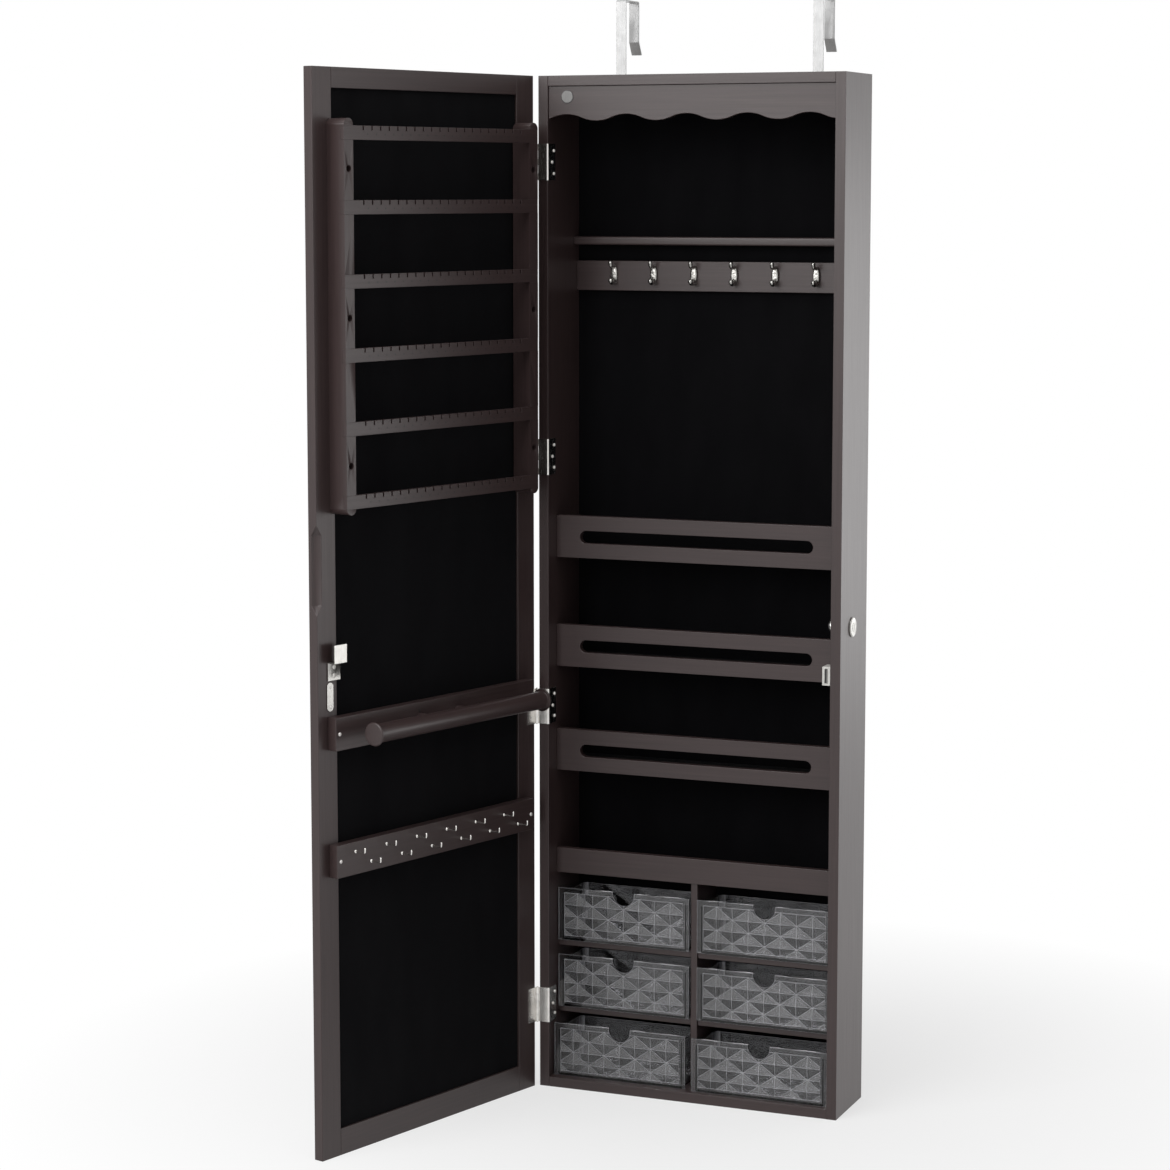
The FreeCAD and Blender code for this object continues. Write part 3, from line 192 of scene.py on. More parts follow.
# ---------------------------------------------------------------- materials
class Finish:
    """A material's nodes, laid out from the object's own coordinates."""

    def __init__(self, name):
        self.material = bpy.data.materials.new(name)
        self.material.use_nodes = True
        self.nodes = self.material.node_tree.nodes
        self.links = self.material.node_tree.links
        self.shader = self.nodes["Principled BSDF"]
        self.place = self.nodes.new("ShaderNodeTexCoord").outputs["Object"]

    def join(self, source, target):
        self.links.new(source, target)

    def turned(self, angle):
        """Coordinates turned about z, so a pattern runs along the open door."""
        turn = self.nodes.new("ShaderNodeMapping")
        turn.inputs["Rotation"].default_value = (0, 0, angle)
        self.join(self.place, turn.inputs["Vector"])
        return turn.outputs["Vector"]

    def noise(self, place, scale, detail=3.0, roughness=0.5, distortion=0.0):
        """Noise with its own scale along each axis, in cells per metre."""
        stretch = self.nodes.new("ShaderNodeMapping")
        stretch.inputs["Scale"].default_value = scale
        self.join(place, stretch.inputs["Vector"])
        noise = self.nodes.new("ShaderNodeTexNoise")
        noise.inputs["Scale"].default_value = 1.0
        noise.inputs["Detail"].default_value = detail
        noise.inputs["Roughness"].default_value = roughness
        noise.inputs["Distortion"].default_value = distortion
        self.join(stretch.outputs["Vector"], noise.inputs["Vector"])
        return noise.outputs["Fac"]

    def spread(self, value, low, high, to_low, to_high):
        """Maps one range of a value on another."""
        span = self.nodes.new("ShaderNodeMapRange")
        ends = {"From Min": low, "From Max": high, "To Min": to_low, "To Max": to_high}
        for socket, number in ends.items():
            span.inputs[socket].default_value = number
        self.join(value, span.inputs["Value"])
        return span.outputs["Result"]

    def blend(self, share, first, second):
        """Mixes two colours by a share."""
        mix = self.nodes.new("ShaderNodeMix")
        mix.data_type = "RGBA"
        for socket, value in ((mix.inputs[6], first), (mix.inputs[7], second)):
            if isinstance(value, bpy.types.NodeSocket):
                self.join(value, socket)
            else:
                socket.default_value = (*value, 1.0)
        self.join(share, mix.inputs[0])
        return mix.outputs[2]

    def multiply(self, first, second):
        product = self.nodes.new("ShaderNodeMath")
        product.operation = "MULTIPLY"
        self.join(first, product.inputs[0])
        self.join(second, product.inputs[1])
        return product.outputs[0]

    def bump(self, height, depth, strength=1.0):
        """Bump of a height, with its depth in metres."""
        bump = self.nodes.new("ShaderNodeBump")
        bump.inputs["Distance"].default_value = depth
        bump.inputs["Strength"].default_value = strength
        self.join(height, bump.inputs["Height"])
        self.join(bump.outputs["Normal"], self.shader.inputs["Normal"])

    def tint(self, value):
        self.join(value, self.shader.inputs["Base Color"])

    def roughen(self, value):
        self.join(value, self.shader.inputs["Roughness"])

    def set(self, **values):
        """Sets the shader's own sockets."""
        for name, value in values.items():
            self.shader.inputs[name.replace("_", " ")].default_value = value


def find_or_make(name, make):
    return bpy.data.materials.get(name) or make(name)


def satin_wood(name, along, turn=0.0):
    """Espresso lacquer over a fine, straight grain that runs along one axis."""
    finish = Finish(name)
    place = finish.turned(turn) if turn else finish.place
    streak = [420.0, 420.0, 420.0]
    streak[along] = 9.0
    pore = [2600.0, 2600.0, 2600.0]
    pore[along] = 55.0
    grain = finish.noise(place, streak, detail=5.0, roughness=0.6, distortion=0.35)
    pores = finish.noise(place, pore, detail=2.0)
    cloud = finish.noise(place, (5.0, 5.0, 5.0), detail=2.0)
    tone = finish.spread(grain, 0.3, 0.7, 0.0, 1.0)
    tone = finish.multiply(tone, finish.spread(cloud, 0.3, 0.7, 0.75, 1.0))
    tone = finish.multiply(tone, finish.spread(pores, 0.3, 0.5, 0.6, 1.0))
    finish.tint(finish.blend(tone, colours().wood_dark, colours().wood))
    finish.roughen(finish.spread(grain, 0.2, 0.8, 0.40, 0.33))
    finish.bump(finish.multiply(grain, pores), 0.00006, 0.5)
    finish.set(Specular_IOR_Level=0.42, Coat_Weight=0.10, Coat_Roughness=0.22)
    return finish.material


def wood_across():
    return find_or_make("wood_across", lambda name: satin_wood(name, 0))


def wood_upright():
    return find_or_make("wood_upright", lambda name: satin_wood(name, 2))


def door_wood_across():
    return find_or_make("door_wood_across", lambda name: satin_wood(name, 0, DOOR_ANGLE))


def make_velvet(name):
    finish = Finish(name)
    pile = finish.noise(finish.place, (3200.0, 3200.0, 3200.0), detail=2.0)
    nap = finish.noise(finish.place, (26.0, 26.0, 9.0), detail=3.0)
    tone = finish.multiply(finish.spread(pile, 0.3, 0.7, 0.0, 1.0),
                           finish.spread(nap, 0.3, 0.7, 0.55, 1.0))
    finish.tint(finish.blend(tone, colours().velvet, colours().velvet_tip))
    finish.roughen(finish.spread(nap, 0.3, 0.7, 0.95, 0.85))
    finish.bump(pile, 0.0003, 0.7)
    finish.set(Specular_IOR_Level=0.06, Sheen_Weight=0.02, Sheen_Roughness=0.4)
    return finish.material


def velvet():
    return find_or_make("black_velvet", make_velvet)


def make_metal(name, bright, rough_low, rough_high, depth, cells, metallic=1.0):
    """Metal with its brushing or casting marks; a dull coat of zinc makes it less metallic."""
    finish = Finish(name)
    patches = finish.noise(finish.place, (90.0, 90.0, 90.0), detail=4.0)
    fine = finish.noise(finish.place, cells, detail=3.0)
    share = finish.spread(patches, 0.35, 0.65, 0.0, 1.0)
    finish.tint(finish.blend(share, [c * 0.85 for c in bright], bright))
    finish.roughen(finish.spread(fine, 0.3, 0.7, rough_low, rough_high))
    finish.bump(fine, depth, 0.5)
    finish.set(Metallic=metallic)
    return finish.material


def brushed(name, bright, rough=0.16, metallic=1.0):
    """A metal brushed up and down."""
    return find_or_make(name, lambda name: make_metal(name, bright, rough, rough + 0.12, 0.000012,
                                                      (2400.0, 2400.0, 60.0), metallic))


def nickel():
    return brushed("bright_nickel", colours().nickel)


def zinc():
    return brushed("zinc_screws", colours().nickel, 0.30, 0.35)


def steel():
    return brushed("brushed_steel", colours().steel)


def plated_strip():
    return brushed("plated_strip", colours().hanger, 0.20, 0.2)


def satin_disc():
    return brushed("satin_disc", colours().disc, 0.42)


def cast_nickel():
    """Cast nickel, slightly uneven."""
    cells = (420.0, 420.0, 420.0)
    return find_or_make("cast_nickel", lambda name: make_metal(name, colours().cast, 0.16, 0.30,
                                                               0.0006, cells))


def make_acrylic(name, clear, tint, rough):
    """Cast acrylic; clear is the share of light that goes through."""
    finish = Finish(name)
    haze = finish.noise(finish.place, (60.0, 60.0, 60.0), detail=3.0)
    ripple = finish.noise(finish.place, (110.0, 110.0, 45.0), detail=1.0)
    finish.tint(finish.blend(haze, tint, [c * 0.94 for c in tint]))
    finish.roughen(finish.spread(haze, 0.3, 0.7, rough, rough + 0.03))
    finish.bump(ripple, 0.0002, 0.2)
    finish.set(IOR=1.49, Transmission_Weight=clear, Specular_IOR_Level=0.34)
    return finish.material


def acrylic():
    return find_or_make("smoked_acrylic_clear",
                        lambda name: make_acrylic(name, 1.0, colours().acrylic, 0.0))


def painted_light_acrylic():
    """Painted light: a less clear copy of the acrylic, whose diffuse share makes the facets that
    look up read lighter.
    """
    return find_or_make("smoked_acrylic_painted_facet_light",
                        lambda name: make_acrylic(name, 0.86, colours().facet, 0.05))


def painted_highlight_acrylic():
    """Painted highlight: a copy of the acrylic that lets less than half the light through, so the
    rounded edges read as bright lines.
    """
    return find_or_make("smoked_acrylic_painted_edge_highlight",
                        lambda name: make_acrylic(name, 0.45, colours().edge, 0.10))


def make_plastic(name):
    finish = Finish(name)
    grain = finish.noise(finish.place, (2200.0, 2200.0, 2200.0), detail=2.0)
    finish.tint(finish.blend(grain, colours().plastic, [c * 0.9 for c in colours().plastic]))
    finish.roughen(finish.spread(grain, 0.3, 0.7, 0.35, 0.5))
    finish.bump(grain, 0.00004, 0.4)
    return finish.material


def catch_plastic():
    return find_or_make("moulded_plastic", make_plastic)


def make_dark(name):
    finish = Finish(name)
    grain = finish.noise(finish.place, (1500.0, 1500.0, 1500.0), detail=2.0)
    finish.tint(finish.blend(grain, colours().magnet, [c * 1.8 for c in colours().magnet]))
    finish.roughen(finish.spread(grain, 0.3, 0.7, 0.5, 0.7))
    return finish.material


# Dark finish of the catch magnet, lock nut and cam, also used as painted shade of holes on the dark
# screws and earring dots
def dark_ferrite_and_painted_hole_shade():
    return find_or_make("dark_ferrite_and_painted_hole_shade", make_dark)


def make_hardboard(name):
    finish = Finish(name)
    fibre = finish.noise(finish.place, (900.0, 900.0, 700.0), detail=4.0, distortion=1.2)
    blotch = finish.noise(finish.place, (14.0, 14.0, 14.0), detail=3.0)
    tone = finish.multiply(finish.spread(fibre, 0.3, 0.7, 0.5, 1.0),
                           finish.spread(blotch, 0.3, 0.7, 0.7, 1.0))
    finish.tint(finish.blend(tone, [c * 0.5 for c in colours().hardboard], colours().hardboard))
    finish.roughen(finish.spread(fibre, 0.3, 0.7, 0.75, 0.6))
    finish.bump(fibre, 0.0001, 0.6)
    return finish.material


def hardboard():
    return find_or_make("pressed_hardboard", make_hardboard)


def make_mirror(name):
    finish = Finish(name)
    smear = finish.noise(finish.place, (7.0, 7.0, 5.0), detail=4.0)
    finish.tint(finish.blend(smear, colours().mirror, [c * 0.97 for c in colours().mirror]))
    finish.roughen(finish.spread(smear, 0.3, 0.8, 0.005, 0.03))
    finish.set(Metallic=1.0, Coat_Weight=0.6, Coat_Roughness=0.01)
    return finish.material


def silvered_glass():
    return find_or_make("silvered_glass", make_mirror)


# ---------------------------------------------------------------- shapes
def on_door(u, s, z):
    """A place on the open door: u from its hinge edge, s out of its inner face, z from its foot."""
    low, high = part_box("hinge_pins")
    axis = (low + high) / 2
    swung = Matrix.Translation((axis.x, axis.y, CASE_FOOT)) @ Matrix.Rotation(-DOOR_ANGLE, 4, "Z")
    return swung @ Matrix.Translation((u + 3.3 * MM, s - 1.0 * MM, z))


def facing(direction):
    """Turns z to face along a direction of the case."""
    return Vector(direction).to_track_quat("Z", "Y").to_matrix().to_4x4()


def out_of_door(u, s, z):
    """A place on the door with its z axis out of the door's inner face."""
    return on_door(u, s, z) @ Matrix.Rotation(-math.pi / 2, 4, "X")


def finish_piece(bm, name, body, finish, replaced=(), sharp=35.0):
    """Turns a bmesh into a piece in place, smooth except at edges sharper than an angle."""
    bmesh.ops.recalc_face_normals(bm, faces=bm.faces)
    mesh = bpy.data.meshes.new(name)
    bm.to_mesh(mesh)
    bm.free()
    piece = bpy.data.objects.new(name, mesh)
    bpy.context.scene.collection.objects.link(piece)
    mesh.materials.append(finish)
    mesh.shade_smooth()
    mesh.set_sharp_from_angle(angle=math.radians(sharp))
    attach(piece, body)
    if replaced:
        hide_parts(*replaced)
    return piece


def softened(node, finish, radius, segments=2, sharp=30.0, reshape=None, pierced=False):
    """A copy of a node with its edges rounded, which stands for it."""
    source = NODES[node]
    bm = bmesh.new()
    bm.from_mesh(source.data)
    bmesh.ops.remove_doubles(bm, verts=bm.verts, dist=0.000002)
    if not pierced:
        bmesh.ops.dissolve_limit(bm, angle_limit=math.radians(0.5), verts=bm.verts, edges=bm.edges)
    if reshape:
        reshape(bm)
    mesh = bpy.data.meshes.new(node + "_finished")
    bm.to_mesh(mesh)
    bm.free()
    piece = bpy.data.objects.new(mesh.name, mesh)
    bpy.context.scene.collection.objects.link(piece)
    mesh.materials.append(finish)
    mesh.shade_smooth()
    mesh.set_sharp_from_angle(angle=math.radians(sharp))
    rounding = piece.modifiers.new("Rounded edges", "BEVEL")
    rounding.width = radius
    rounding.segments = segments
    rounding.limit_method = "ANGLE"
    rounding.angle_limit = math.radians(sharp)
    rounding.harden_normals = True
    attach(piece, source["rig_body"])
    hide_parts(node)
    return piece


def paint(node, finish):
    """Gives a node its finish and leaves its shape."""
    for slot in NODES[node].material_slots:
        slot.material = finish


def grow(bm, face, steps):
    """Extrudes a face step by step; a step is a move, a turn about x in degrees and a scale."""
    for move, turn, scale in steps:
        made = bmesh.ops.extrude_face_region(bm, geom=[face])["geom"]
        ring = [item for item in made if isinstance(item, bmesh.types.BMVert)]
        bmesh.ops.delete(bm, geom=[face], context="FACES_ONLY")
        face = next(item for item in made if isinstance(item, bmesh.types.BMFace))
        centre = sum((vert.co for vert in ring), Vector()) / len(ring)
        about = Matrix.Translation(centre)
        bend = Matrix.Rotation(math.radians(turn), 4, "X")
        change = about @ bend @ Matrix.Scale(scale, 4) @ about.inverted()
        bmesh.ops.transform(bm, matrix=Matrix.Translation(move) @ change, verts=ring)
    return face


def start_disc(bm, radius, sides, matrix):
    """A flat disc to grow a bar from."""
    made = bmesh.ops.create_circle(bm, cap_ends=True, radius=radius, segments=sides, matrix=matrix)
    return made["verts"][0].link_faces[0]


def add_screw(bm, place, radius, rise, recess=0.0006):
    """A rounded screw head with a cross recess, its z axis out of the board."""
    head = bmesh.new()
    bmesh.ops.create_circle(head, cap_ends=True, radius=radius, segments=20)
    for band in (0.04, 0.12, 0.26):
        inner = max((face for face in head.faces if len(face.verts) > 4),
                    key=lambda face: face.calc_area())
        bmesh.ops.inset_individual(head, faces=[inner], thickness=radius * band, depth=0)
    slot = radius * 0.13
    for normal in ((1, 0, 0), (0, 1, 0)):
        for side in (-1, 1):
            middle = [face for face in head.faces
                      if face.calc_center_median().length < radius * 0.57
                      and max(vert.co.length for vert in face.verts) < radius * 0.6]
            cut = middle + list({edge for face in middle for edge in face.edges})
            cut += list({vert for face in middle for vert in face.verts})
            bmesh.ops.bisect_plane(head, geom=cut, dist=1e-7, plane_co=Vector(normal) * slot * side,
                                   plane_no=normal)
    cross = [face for face in head.faces
             if max(vert.co.length for vert in face.verts) < radius * 0.6
             and min(abs(face.calc_center_median().x), abs(face.calc_center_median().y)) < slot]
    for vert in head.verts:
        vert.co.z = rise * math.sqrt(max(0.0, 1 - (vert.co.xy.length / radius) ** 2))
    sunk = bmesh.ops.extrude_face_region(head, geom=cross)["geom"]
    bmesh.ops.delete(head, geom=cross, context="FACES_ONLY")
    bmesh.ops.translate(head, vec=(0, 0, -recess),
                        verts=[item for item in sunk if isinstance(item, bmesh.types.BMVert)])
    border = [edge for edge in head.edges if edge.is_boundary]
    skirt = bmesh.ops.extrude_edge_only(head, edges=border)["geom"]
    bmesh.ops.translate(head, vec=(0, 0, -0.0004),
                        verts=[item for item in skirt if isinstance(item, bmesh.types.BMVert)])
    bmesh.ops.transform(head, matrix=place, verts=head.verts)
    mesh = bpy.data.meshes.new("screw")
    head.to_mesh(mesh)
    head.free()
    bm.from_mesh(mesh)
    bpy.data.meshes.remove(mesh)


# ---------------------------------------------------------------- operators
class CABINET_OT_case(bpy.types.Operator):
    """Finish the case: its sides, ends, valance, back panel and linings."""

    bl_idname = "cabinet.case"
    bl_label = "Case"

    def execute(self, context):
        for node in ("side_left", "side_right"):
            softened(node, wood_upright(), sizes().wood_round)
        for node in ("top_board", "bottom_board", "valance"):
            softened(node, wood_across(), sizes().wood_round)
        for node in ("coat_hook_board", "ledge"):
            softened(node, wood_across(), sizes().wood_round)
        paint("back_panel", hardboard())
        paint("back_lining", velvet())
        softened("valance_disc", satin_disc(), sizes().metal_round * 2)
        return {"FINISHED"}


class CABINET_OT_compartments(bpy.types.Operator):
    """Finish the shelves, their rails and the drawer bay."""

    bl_idname = "cabinet.compartments"
    bl_label = "Shelves and rails"

    def execute(self, context):
        for node in ("upper_rail", "middle_rail", "lower_rail", "plain_rail", "drawer_shelves"):
            softened(node, wood_across(), sizes().wood_round)
        softened("drawer_divider", wood_upright(), sizes().wood_round)
        for node in ("upper_shelf", "middle_shelf", "lower_shelf", "drawer_bay_top"):
            paint(node, velvet())
        return {"FINISHED"}


class CABINET_OT_door(bpy.types.Operator):
    """Finish the door: its frame, mirror, backing and lining."""

    bl_idname = "cabinet.door"
    bl_label = "Door"

    def execute(self, context):
        for node in ("door_hinge_stile", "door_free_stile"):
            softened(node, wood_upright(), sizes().wood_round)
        for node in ("door_top_rail", "door_bottom_rail"):
            softened(node, door_wood_across(), sizes().wood_round)
        softened("mirror", silvered_glass(), sizes().acrylic_round)
        paint("door_backing", hardboard())
        paint("door_lining", velvet())
        return {"FINISHED"}


class CABINET_OT_earring_rack(bpy.types.Operator):
    """Finish the earring rack and lay a row of dark dots along each bar, painted shade where its
    holes would be.
    """

    bl_idname = "cabinet.earring_rack"
    bl_label = "Earring rack"

    def execute(self, context):
        softened("rack_uprights", wood_upright(), sizes().wood_round, pierced=True)
        for step in EARRING_BARS:
            softened(f"earring_bar_{step}", door_wood_across(), sizes().wood_round / 2)
        bm = bmesh.new()
        for step in EARRING_BARS:
            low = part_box(f"earring_bar_{step}")[0]
            height = low.z - CASE_FOOT + EARRING_DOT_HEIGHT
            for dot in range(EARRING_DOTS):
                u = DOOR_MIDDLE + (dot - (EARRING_DOTS - 1) / 2) * EARRING_DOT_SPACING
                place = out_of_door(u, EARRING_BAR_FACE + CLEAR_OF_FACE, height)
                # Each dark disc is painted shade of a hole; no hole is cut
                bmesh.ops.create_circle(bm, cap_ends=True, radius=sizes().earring_dot_painted_shade, segments=10,
                                        matrix=place)
        finish_piece(bm, "earring_dots_painted_shade", "door", dark_ferrite_and_painted_hole_shade())
        return {"FINISHED"}


class CABINET_OT_rod(bpy.types.Operator):
    """Finish the round rod, its posts and the two boards across the door."""

    bl_idname = "cabinet.rod"
    bl_label = "Rod and boards"

    def execute(self, context):
        for node in ("rod_board", "small_hook_board", "scarf_rod"):
            softened(node, door_wood_across(), sizes().wood_round)
        softened("rod_posts", door_wood_across(), sizes().metal_round)
        return {"FINISHED"}


class CABINET_OT_coat_hooks(bpy.types.Operator):
    """Make the six cast double hooks."""

    bl_idname = "cabinet.coat_hooks"
    bl_label = "Coat hooks"

    def execute(self, context):
        low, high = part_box("coat_hooks")
        bm = bmesh.new()
        for step in range(COAT_HOOKS):
            x = (step - (COAT_HOOKS - 1) / 2) * COAT_HOOK_SPACING
            self.add_hook(bm, Matrix.Translation((x, high.y, low.z)))
        piece = finish_piece(bm, "cast_coat_hooks", "cabinet", cast_nickel(),
                             ["coat_hooks"], 80)
        smooth = piece.modifiers.new("Smooth", "SUBSURF")
        smooth.levels = smooth.render_levels = 2
        return {"FINISHED"}

    def add_hook(self, bm, place):
        """One hook: an oval plate with a raised rib, a long upper arm and a short lower one."""
        before = set(bm.verts)
        upright = Matrix.Rotation(math.pi / 2, 4, "X")
        arm = sizes().arm
        flat = Matrix.Diagonal((0.0047, 0.0122, 1, 1))
        oval = Matrix.Translation((0, 0, 0.0118)) @ upright @ flat
        plate = start_disc(bm, 1.0, 16, oval)
        grow(bm, plate, [((0, -0.0010, 0), 0, 1.0), ((0, -0.0012, 0), 0, 0.97),
                         ((0, -0.0010, 0), 0, 0.90), ((0, -0.0005, 0), 0, 0.80),
                         ((0, -0.0002, 0), 0, 0.55)])
        root = Matrix.Translation((0, -0.0020, 0.0210)) @ upright
        grow(bm, start_disc(bm, arm * 1.15, 8, root), [
            ((0, -0.0032, 0.0000), -6, 1.0), ((0, -0.0042, 0.0002), -8, 1.0),
            ((0, -0.0028, 0.0008), -32, 1.0), ((0, -0.0012, 0.0018), -32, 1.0),
            ((0, 0.0000, 0.0018), -12, 1.0)])
        root = Matrix.Translation((0, -0.0020, 0.0060)) @ upright
        grow(bm, start_disc(bm, arm * 1.5, 8, root), [
            ((0, -0.0024, -0.0020), 20, 0.95), ((0, -0.0028, -0.0018), 5, 0.95),
            ((0, -0.0030, 0.0000), -30, 0.95), ((0, -0.0020, 0.0014), -35, 1.0),
            ((0, -0.0006, 0.0014), -20, 1.0)])
        for y, z, radius, tall in ((-0.0136, 0.0256, 0.0029, 1.05), (-0.0128, 0.0046, 0.0032, 1.0)):
            ball = Matrix.Translation((0, y, z)) @ Matrix.Diagonal((1, 1, tall, 1))
            bmesh.ops.create_uvsphere(bm, u_segments=10, v_segments=6, radius=radius, matrix=ball)
        for z in (0.0085, 0.0150):
            screw = Matrix.Translation((0, -0.0038, z)) @ upright
            button = start_disc(bm, 0.0013, 8, screw)
            grow(bm, button, [((0, -0.0004, 0), 0, 0.9), ((0, -0.0002, 0), 0, 0.6)])
        made = [vert for vert in bm.verts if vert not in before]
        bmesh.ops.transform(bm, matrix=place, verts=made)


class CABINET_OT_small_hooks(bpy.types.Operator):
    """Make the twelve small wire hooks on the door."""

    bl_idname = "cabinet.small_hooks"
    bl_label = "Small hooks"

    def execute(self, context):
        low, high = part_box("small_hook_board")
        middle = (low.z + high.z) / 2 - CASE_FOOT
        wire = sizes().wire
        bm = bmesh.new()
        for step in range(SMALL_HOOKS):
            u = DOOR_MIDDLE + ((SMALL_HOOKS - 1) / 2 - step) * SMALL_HOOK_SPACING
            z = middle + (SMALL_HOOK_STAGGER if step % 2 == 0 else -SMALL_HOOK_STAGGER)
            place = out_of_door(u, BOARD_FACE, z)
            before = set(bm.verts)
            collar = start_disc(bm, 0.0021, 14, Matrix())
            grow(bm, collar, [((0, 0, 0.0005), 0, 1.0), ((0, 0, 0.0004), 0, 0.8),
                              ((0, 0, 0.0001), 0, 0.5)])
            shank = start_disc(bm, wire, 10, Matrix())
            chord = 0.00045
            angles = [math.radians(degrees) for degrees in (9, 27, 45, 63, 81)]
            bend = [((0, -chord * math.sin(angle), chord * math.cos(angle)), 18, 1.0)
                    for angle in angles]
            grow(bm, shank, [((0, 0, 0.0125), 0, 1.0), *bend, ((0, -0.0038, 0), 0, 1.0),
                             ((0, -0.0004, 0), 0, 0.8), ((0, -0.0002, 0), 0, 0.45)])
            made = [vert for vert in bm.verts if vert not in before]
            bmesh.ops.transform(bm, matrix=place, verts=made)
        finish_piece(bm, "wire_hooks", "door", nickel(), ["small_hooks"], 60)
        return {"FINISHED"}


class CABINET_OT_drawers(bpy.types.Operator):
    """Finish the six acrylic drawers with faceted fronts."""

    bl_idname = "cabinet.drawers"
    bl_label = "Drawers"

    def execute(self, context):
        for row in ("bottom", "middle", "top"):
            for side in ("left", "right"):
                node = f"drawer_{row}_{side}"
                piece = softened(node, acrylic(), sizes().acrylic_round, sharp=5.0,
                                 reshape=self.mark_painted_light_facets)
                piece.data.materials.append(painted_light_acrylic())
                piece.data.materials.append(painted_highlight_acrylic())
                # The rounded edges take the third finish, a painted highlight.
                piece.modifiers["Rounded edges"].material = 2
        return {"FINISHED"}

    def mark_painted_light_facets(self, bm):
        """Marks the facets of the front that look up, which take the painted light finish."""
        bm.normal_update()
        for face in bm.faces:
            looks_up = face.normal.y < -0.9 and face.normal.z > 0.05
            face.material_index = 1 if looks_up else 0


class CABINET_OT_hinges(bpy.types.Operator):
    """Finish the four hinges."""

    bl_idname = "cabinet.hinges"
    bl_label = "Hinges"

    def execute(self, context):
        edge = sizes().metal_round * 0.6
        softened("hinge_frame_leaves", nickel(), edge, segments=1, reshape=self.bend_leaves)
        for node in ("hinge_door_leaves", "hinge_pins"):
            softened(node, nickel(), edge, segments=1)
        return {"FINISHED"}

    def bend_leaves(self, bm):
        """Rounds each leaf where it turns from the case's front edge to its inside."""
        near = 0.00002
        corner = [edge for edge in bm.edges
                  if all(abs(vert.co.x + CASE_WALL) < near and abs(vert.co.y + 0.0999) < near
                         for vert in edge.verts)]
        if len(corner) != 4:
            raise RuntimeError(f"found {len(corner)} bends on the hinge leaves instead of 4")
        bmesh.ops.bevel(bm, geom=corner, offset=sizes().leaf_bend, segments=8, affect="EDGES",
                        profile=0.5, material=-1)


class CABINET_OT_lock(bpy.types.Operator):
    """Finish the lock, its keeper, the strike plate and the magnetic catch."""

    bl_idname = "cabinet.lock"
    bl_label = "Lock and catch"

    def execute(self, context):
        for node in ("lock_housing", "lock_plug", "keeper", "strike_plate"):
            softened(node, steel(), sizes().metal_round)
        for node in ("lock_nut", "lock_cam"):
            softened(node, dark_ferrite_and_painted_hole_shade(), sizes().metal_round)
        softened("magnet_catch", catch_plastic(), sizes().acrylic_round)
        low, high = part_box("magnet_catch")
        middle, foot = (low.x + high.x) / 2, low.z + (high.x - low.x) / 4
        tall = (high.z - low.z) - (high.x - low.x) / 2
        deep = 0.0020
        for name, finish, x, wide, sunk in (
                ("catch_magnet", dark_ferrite_and_painted_hole_shade(), -0.0002, 0.0040, 0.0002),
                ("catch_poles", steel(), 0.0010, 0.0006, 0.0001)):
            bm = bmesh.new()
            core = Matrix.Translation((middle + x, low.y + sunk + deep / 2, foot + tall / 2))
            bmesh.ops.create_cube(bm, size=1,
                                  matrix=core @ Matrix.Diagonal((wide, deep, tall * 0.97, 1)))
            bmesh.ops.bevel(bm, geom=bm.edges[:], offset=0.00008, affect="EDGES", segments=1,
                            profile=0.5, material=-1)
            finish_piece(bm, name, "cabinet", finish)
        return {"FINISHED"}


class CABINET_OT_hangers(bpy.types.Operator):
    """Finish the two hangers that go over a door."""

    bl_idname = "cabinet.hangers"
    bl_label = "Hangers"

    def execute(self, context):
        for node in ("hanger_left", "hanger_right"):
            softened(node, plated_strip(), sizes().metal_round)
        return {"FINISHED"}


class CABINET_OT_screws(bpy.types.Operator):
    """Drive the screws of the hinges, boards, rack, keeper, strike plate and hangers."""

    bl_idname = "cabinet.screws"
    bl_label = "Screws"

    def execute(self, context):
        hinge, board = sizes().hinge_screw, sizes().board_screw
        bm = bmesh.new()
        for height in HINGE_HEIGHTS:
            for y, up in ((-0.083, 0.0132), (-0.0885, 0.0), (-0.083, -0.0132)):
                spot = Matrix.Translation((-CASE_WALL, y, CASE_FOOT + height + up))
                add_screw(bm, spot @ facing((1, 0, 0)), hinge, 0.0016)
        for x in (-0.1215, 0.1215):
            for z in (1.191, 1.164):
                place = Matrix.Translation((x, 0.0, CASE_FOOT + z)) @ facing((0, 1, 0))
                add_screw(bm, place, board, 0.00005)
        finish_piece(bm, "case_screws", "cabinet", zinc())

        bm = bmesh.new()
        for height in HINGE_HEIGHTS:
            for up in (0.0132, -0.0132):
                add_screw(bm, out_of_door(0.0075, 0.0009, height + up), hinge, 0.00012)
        for height in (0.4785, 0.3367):
            for u in (0.0214, 0.3494):
                add_screw(bm, out_of_door(u, BOARD_FACE, height), board * 0.85, 0.0015)
        for z in (0.25, 0.7):
            height = KEEPER_FOOT + KEEPER_BASE_TALL * z
            add_screw(bm, out_of_door(0.3461, 0.0015, height), board, 0.0009)
        for z in (0.50775, 0.53005):
            add_screw(bm, out_of_door(0.35225, 0.0012, z), board * 0.7, 0.0001)
        finish_piece(bm, "door_screws", "door", zinc())

        # Screws whose heads take the dark finish: painted shade of the holes they sit in
        bm = bmesh.new()
        for u in (0.02975, 0.34105):
            for z in (0.7724, 0.932, 1.0916):
                add_screw(bm, out_of_door(u, 0.0175, z), 0.0034, 0.0006)
        add_screw(bm, out_of_door(0.2179, BOARD_FACE, 0.4873), board * 0.7, 0.0002)
        finish_piece(bm, "dark_screws", "door", dark_ferrite_and_painted_hole_shade())
        return {"FINISHED"}


